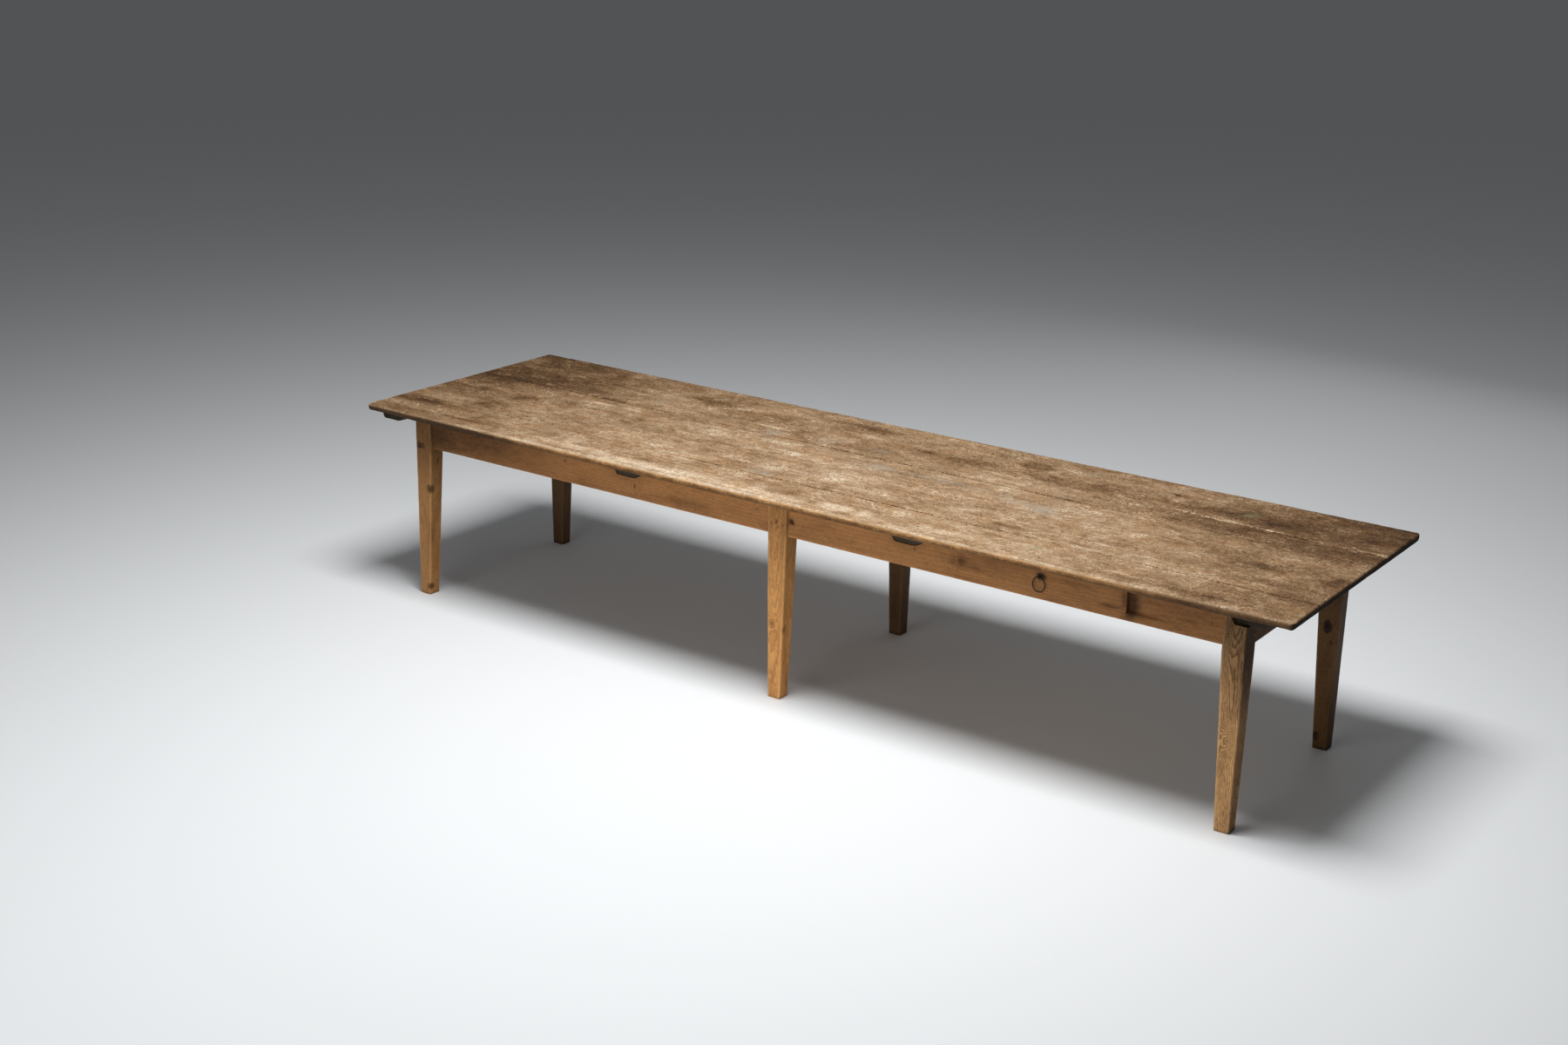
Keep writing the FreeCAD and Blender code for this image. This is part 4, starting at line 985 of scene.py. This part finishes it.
def hewn_batten(node, seed):
    """A batten across the top's underside, its lower corners hewn away."""
    low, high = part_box(node)
    place, drawn = stations(low.y, high.y, 14 * MM, 3 * MM)
    lows = np.array([(low.z, low.x)] * len(place)) + drawn[:, None]
    highs = np.array([(high.z, high.x)] * len(place)) - drawn[:, None]
    highs[:, 0] = high.z
    wobble = 1 + 0.2 * drift(place, 0.1, seed)
    rounds = np.full((len(place), 4, 2), MM)
    rounds[:, 0] = wobble[:, None] * LEFT_HEWN[::-1]
    rounds[:, 3] = np.stack([np.full(len(place), RIGHT_HEWN[1]), RIGHT_HEWN[0] * wobble], -1)
    outline, apart = rings(lows, highs, rounds, (FEW, FEW, FEW, FEW), HEWN_BEVEL)
    points = lay(place, outline, Y)
    dent = 0.8 * MM * (1 + waver(points, (0.03, 0.12, 0.03), seed)) / 2
    points[..., Z] += np.where(points[..., Z] < high.z - 3 * MM, dent, 0)
    marks = {"wear": 0.6 * near_arris(apart), "stain": np.full(apart.shape, BATTEN_SOOT_AND_SHADE[node])}
    faces = skin(*points.shape[:2])
    piece(f"hewn_{node}", points, faces, (BATTEN_WOOD,), "frame", (node,), marks)


for seed, node in enumerate(BATTEN_SOOT_AND_SHADE):
    hewn_batten(node, 150 + 7 * seed)


# Pegs, with a dark joint line round a domed head


PEG_WOOD = pine("peg_heart", Z, (0.3, 0.3), (0.3, 0.2), 0.004, (0.46, 0.22, 0.078), (0.26, 0.11, 0.036),
                contrast=0.6, shift=37.0)
PEG_RADIUS = 6.5 * MM
# Share of the radius and height in millimetres of a head's rings
HEAD = ((1.0, -0.7), (0.97, 0.0), (0.86, 0.3), (0.62, 0.45), (0.3, 0.55))
# For pegs right of an X: how dark the joint is and how dark the head is
PEG_STAINS = ((1.5, 1.2, 0.45), (-1, 0.45, 0.1), (LEFT, 0.75, 0.6))


def grouped_pegs(node, axis):
    """The points of each peg of a node. Points of one peg lie close together across its axis."""
    across = axes_across(axis)
    pegs = []
    for point in cad_points(node):
        for peg in pegs:
            away = point - peg[0]
            if np.linalg.norm(away[across]) < 2.2 * PEG_RADIUS and abs(away[axis]) < 0.1:
                peg.append(point)
                break
        else:
            pegs.append([point])
    return pegs


def whittled_pegs(node, axis, outward, seed):
    """The pegs of one node, cut off just proud of the legs. With outward 0 each faces the nearer end."""
    across = axes_across(axis)
    turns = np.linspace(0, 2 * math.pi, 17)[:-1]
    points, faces, stain = [], [], []
    for number, peg in enumerate(grouped_pegs(node, axis)):
        low, high = np.min(peg, 0), np.max(peg, 0)
        sign = outward or np.sign(high[axis])
        face, tail = (high[axis], low[axis]) if sign > 0 else (low[axis], high[axis])
        cut = 0.95 + 0.05 * np.cos(4 * turns + number) * np.cos(turns + 2 * number + seed)
        circle = np.stack([np.cos(sign * turns), np.sin(sign * turns)], -1)
        levels = [(0.96, tail)] + [(share, face + sign * height * MM) for share, height in HEAD]
        rim, heart = next(darks for start, *darks in PEG_STAINS if low[X] > start)
        faces += [[i + len(points) for i in one] for one in skin(len(levels), len(turns))]
        for share, level in levels:
            ring = np.empty((len(turns), 3))
            ring[:, axis] = level
            ring[:, across] = (low + high)[across] / 2 + PEG_RADIUS * share * cut[:, None] * circle
            points += list(ring)
            stain += [rim if share > 0.8 else heart] * len(turns)
    marks = {"stain": stain, "wear": np.zeros(len(points))}
    piece(f"whittled_{node}", points, faces, (PEG_WOOD,), "frame", (node,), marks)


for seed, (node, axis, outward) in enumerate((
    ("front_pegs", Y, -1), ("back_pegs", Y, 1), ("end_apron_pegs", X, 0), ("cross_rail_pegs", X, -1),
)):
    whittled_pegs(node, axis, outward, seed)


# The drawer's front


DRAWER_PINE = pine(
    "drawer_front_pine", X, (-0.62, 0.56), (0.014, 0.006), 0.01,
    (0.45, 0.206, 0.069), (0.29, 0.116, 0.034), (
        ((1.338, -0.508, 0.657), (0.03, 0.03, 0.007), 0.012, 0.5),
    ), contrast=0.45, shift=41.0)
DRAWER_SMUDGES = (
    (1.092, 0.703, 0.016, 0.009, 1.25), (1.086, 0.697, 0.009, 0.012, 1.0), (0.79, 0.685, 0.02, 0.02, 0.75),
    (0.84, 0.675, 0.04, 0.01, 0.5), (1.39, 0.69, 0.01, 0.04, 0.4), (1.34, 0.657, 0.04, 0.006, 0.3),
    (1.2, 0.705, 0.07, 0.006, 0.4),
)
FRONT_SPREAD = Vector((0.7 * MM, 0, 0))
bar("drawer_front", X, DRAWER_LOW - FRONT_SPREAD, DRAWER_HIGH + FRONT_SPREAD, DRAWER_PINE, 181, "drawer",
    base=0.9 * MM, rounding=1.0 * MM, step=9 * MM, uneven=0.25 * MM, stain=apron_dirt_and_shade(DRAWER_SMUDGES))


# The ring, forged by hand and pulled a little narrow


IRON = rusted_iron()
STEEL = dull_steel()
RING_OVAL = 0.87


def forged_ring():
    """The ring of the drawer's pull, hammered to an uneven thickness."""
    low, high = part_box("pull_ring")
    centre = (low + high) / 2
    wire = (high.y - low.y) / 2
    radius = (high.x - low.x) / 2 - wire
    turns = np.linspace(0, 2 * math.pi, 97)[:-1]
    ways = np.linspace(0, 2 * math.pi, 15)[:-1]
    around, way = np.meshgrid(turns, ways, indexing="ij")
    spread = np.stack([np.cos(around), np.sin(around), np.cos(way) * 0.6], -1)
    thick = wire * (0.93 + 0.07 * waver(spread, (0.22, 0.22, 0.5), 3))
    reach = radius + thick * np.cos(way)
    points = np.stack([
        centre.x + RING_OVAL * reach * np.cos(around),
        centre.y + thick * np.sin(way),
        centre.z + reach * np.sin(around),
    ], -1)
    count, across = around.shape
    i, j = np.meshgrid(np.arange(count), np.arange(across), indexing="ij")
    there, up = (i + 1) % count, (j + 1) % across
    faces = np.stack([i * across + j, there * across + j, there * across + up, i * across + up], -1)
    piece("forged_ring", points, faces.reshape(-1, 4).tolist(), (IRON,), "ring", ("pull_ring",))


forged_ring()


# CAD pieces that are right as they are


DRAWER_WOOD = pine("drawer_box_pine", Y, (0.4, 0.1), (0.02, 0.02), 0.009, (0.55, 0.38, 0.21),
                   (0.36, 0.21, 0.1), contrast=0.5, shift=45.0, rough=0.75)
KEPT_NODES = (
    (IRON, ("ring_staple", "ring_plate")),
    (STEEL, ("batten_screws", "drawer_nails")),
    (DRAWER_WOOD, (
        "drawer_left_side", "drawer_right_side", "drawer_back", "drawer_bottom",
        "left_runner", "right_runner", "drawer_stops",
    )),
)
for finish, nodes in KEPT_NODES:
    for node in nodes:
        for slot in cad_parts[node].material_slots:
            slot.material = finish


# Floor, light and camera


FLOOR_HALF = 60


def pale_floor():
    """A plain pale floor, wide enough to fill the view."""
    finish = Finish("pale_floor")
    shader = finish.add("BsdfPrincipled", None, {
        "Base Color": (0.84, 0.86, 0.875, 1), "Roughness": 0.55, "Specular IOR Level": 0.25,
    })
    finish.add("OutputMaterial", None, {"Surface": shader})
    mesh = bpy.data.meshes.new("floor")
    corners = [(x * FLOOR_HALF, y * FLOOR_HALF, 0) for x, y in SIGNS.tolist()]
    mesh.from_pydata(corners, [], [(0, 1, 2, 3)])
    mesh.materials.append(finish.material)
    floor = bpy.data.objects.new("floor", mesh)
    bpy.context.scene.collection.objects.link(floor)


def soft_light(name, place, target, width, depth, power, spread, colour=(1, 1, 1)):
    """A wide lamp at a place, turned to a target."""
    lamp = bpy.data.lights.new(name, "AREA")
    lamp.shape, lamp.size, lamp.size_y = "RECTANGLE", width, depth
    lamp.energy, lamp.spread, lamp.color = power, math.radians(spread), colour
    thing = bpy.data.objects.new(name, lamp)
    thing.location = place
    thing.rotation_euler = (Vector(target) - Vector(place)).to_track_quat("-Z", "Y").to_euler()
    bpy.context.scene.collection.objects.link(thing)


def photo_camera():
    """The camera of the photo, from a place in metres and three angles in radians."""
    place = Vector((4.1044, -6.2310, 2.9766))
    yaw, pitch, roll = -0.61449, -0.31813, 0.022229
    ahead = Vector((math.sin(yaw) * math.cos(pitch), math.cos(yaw) * math.cos(pitch), math.sin(pitch)))
    level = ahead.cross(Vector((0, 0, 1))).normalized()
    upright = level.cross(ahead)
    right = level * math.cos(roll) + upright * math.sin(roll)
    up = upright * math.cos(roll) - level * math.sin(roll)
    camera = bpy.data.objects.new("camera", bpy.data.cameras.new("camera"))
    camera.data.sensor_width, camera.data.lens = 36.0, 48.25
    camera.data.clip_end = 200
    matrix = Matrix((right, up, -ahead)).transposed().to_4x4()
    matrix.translation = place
    camera.matrix_world = matrix
    bpy.context.scene.collection.objects.link(camera)
    bpy.context.scene.camera = camera


def room_light():
    """Faint light from all round."""
    world = bpy.data.worlds.new("room")
    bpy.context.scene.world = world
    world.use_nodes = True
    background = world.node_tree.nodes["Background"]
    background.inputs["Color"].default_value = (0.96, 0.98, 1.0, 1)
    background.inputs["Strength"].default_value = 0.1


pale_floor()
soft_light("overhead", (0.2, -0.95, 5.4), (0.25, -0.6, 0), 2.6, 1.9, 220, 150)
soft_light("front_fill", (-0.6, -5.6, 2.3), (0.0, 0.0, 0.4), 3.6, 2.2, 38, 160)
soft_light("back_fill", (0.6, 5.6, 2.3), (0.0, 0.0, 0.4), 3.6, 2.2, 12, 160)
photo_camera()
room_light()
bpy.context.scene.view_settings.view_transform = "Standard"
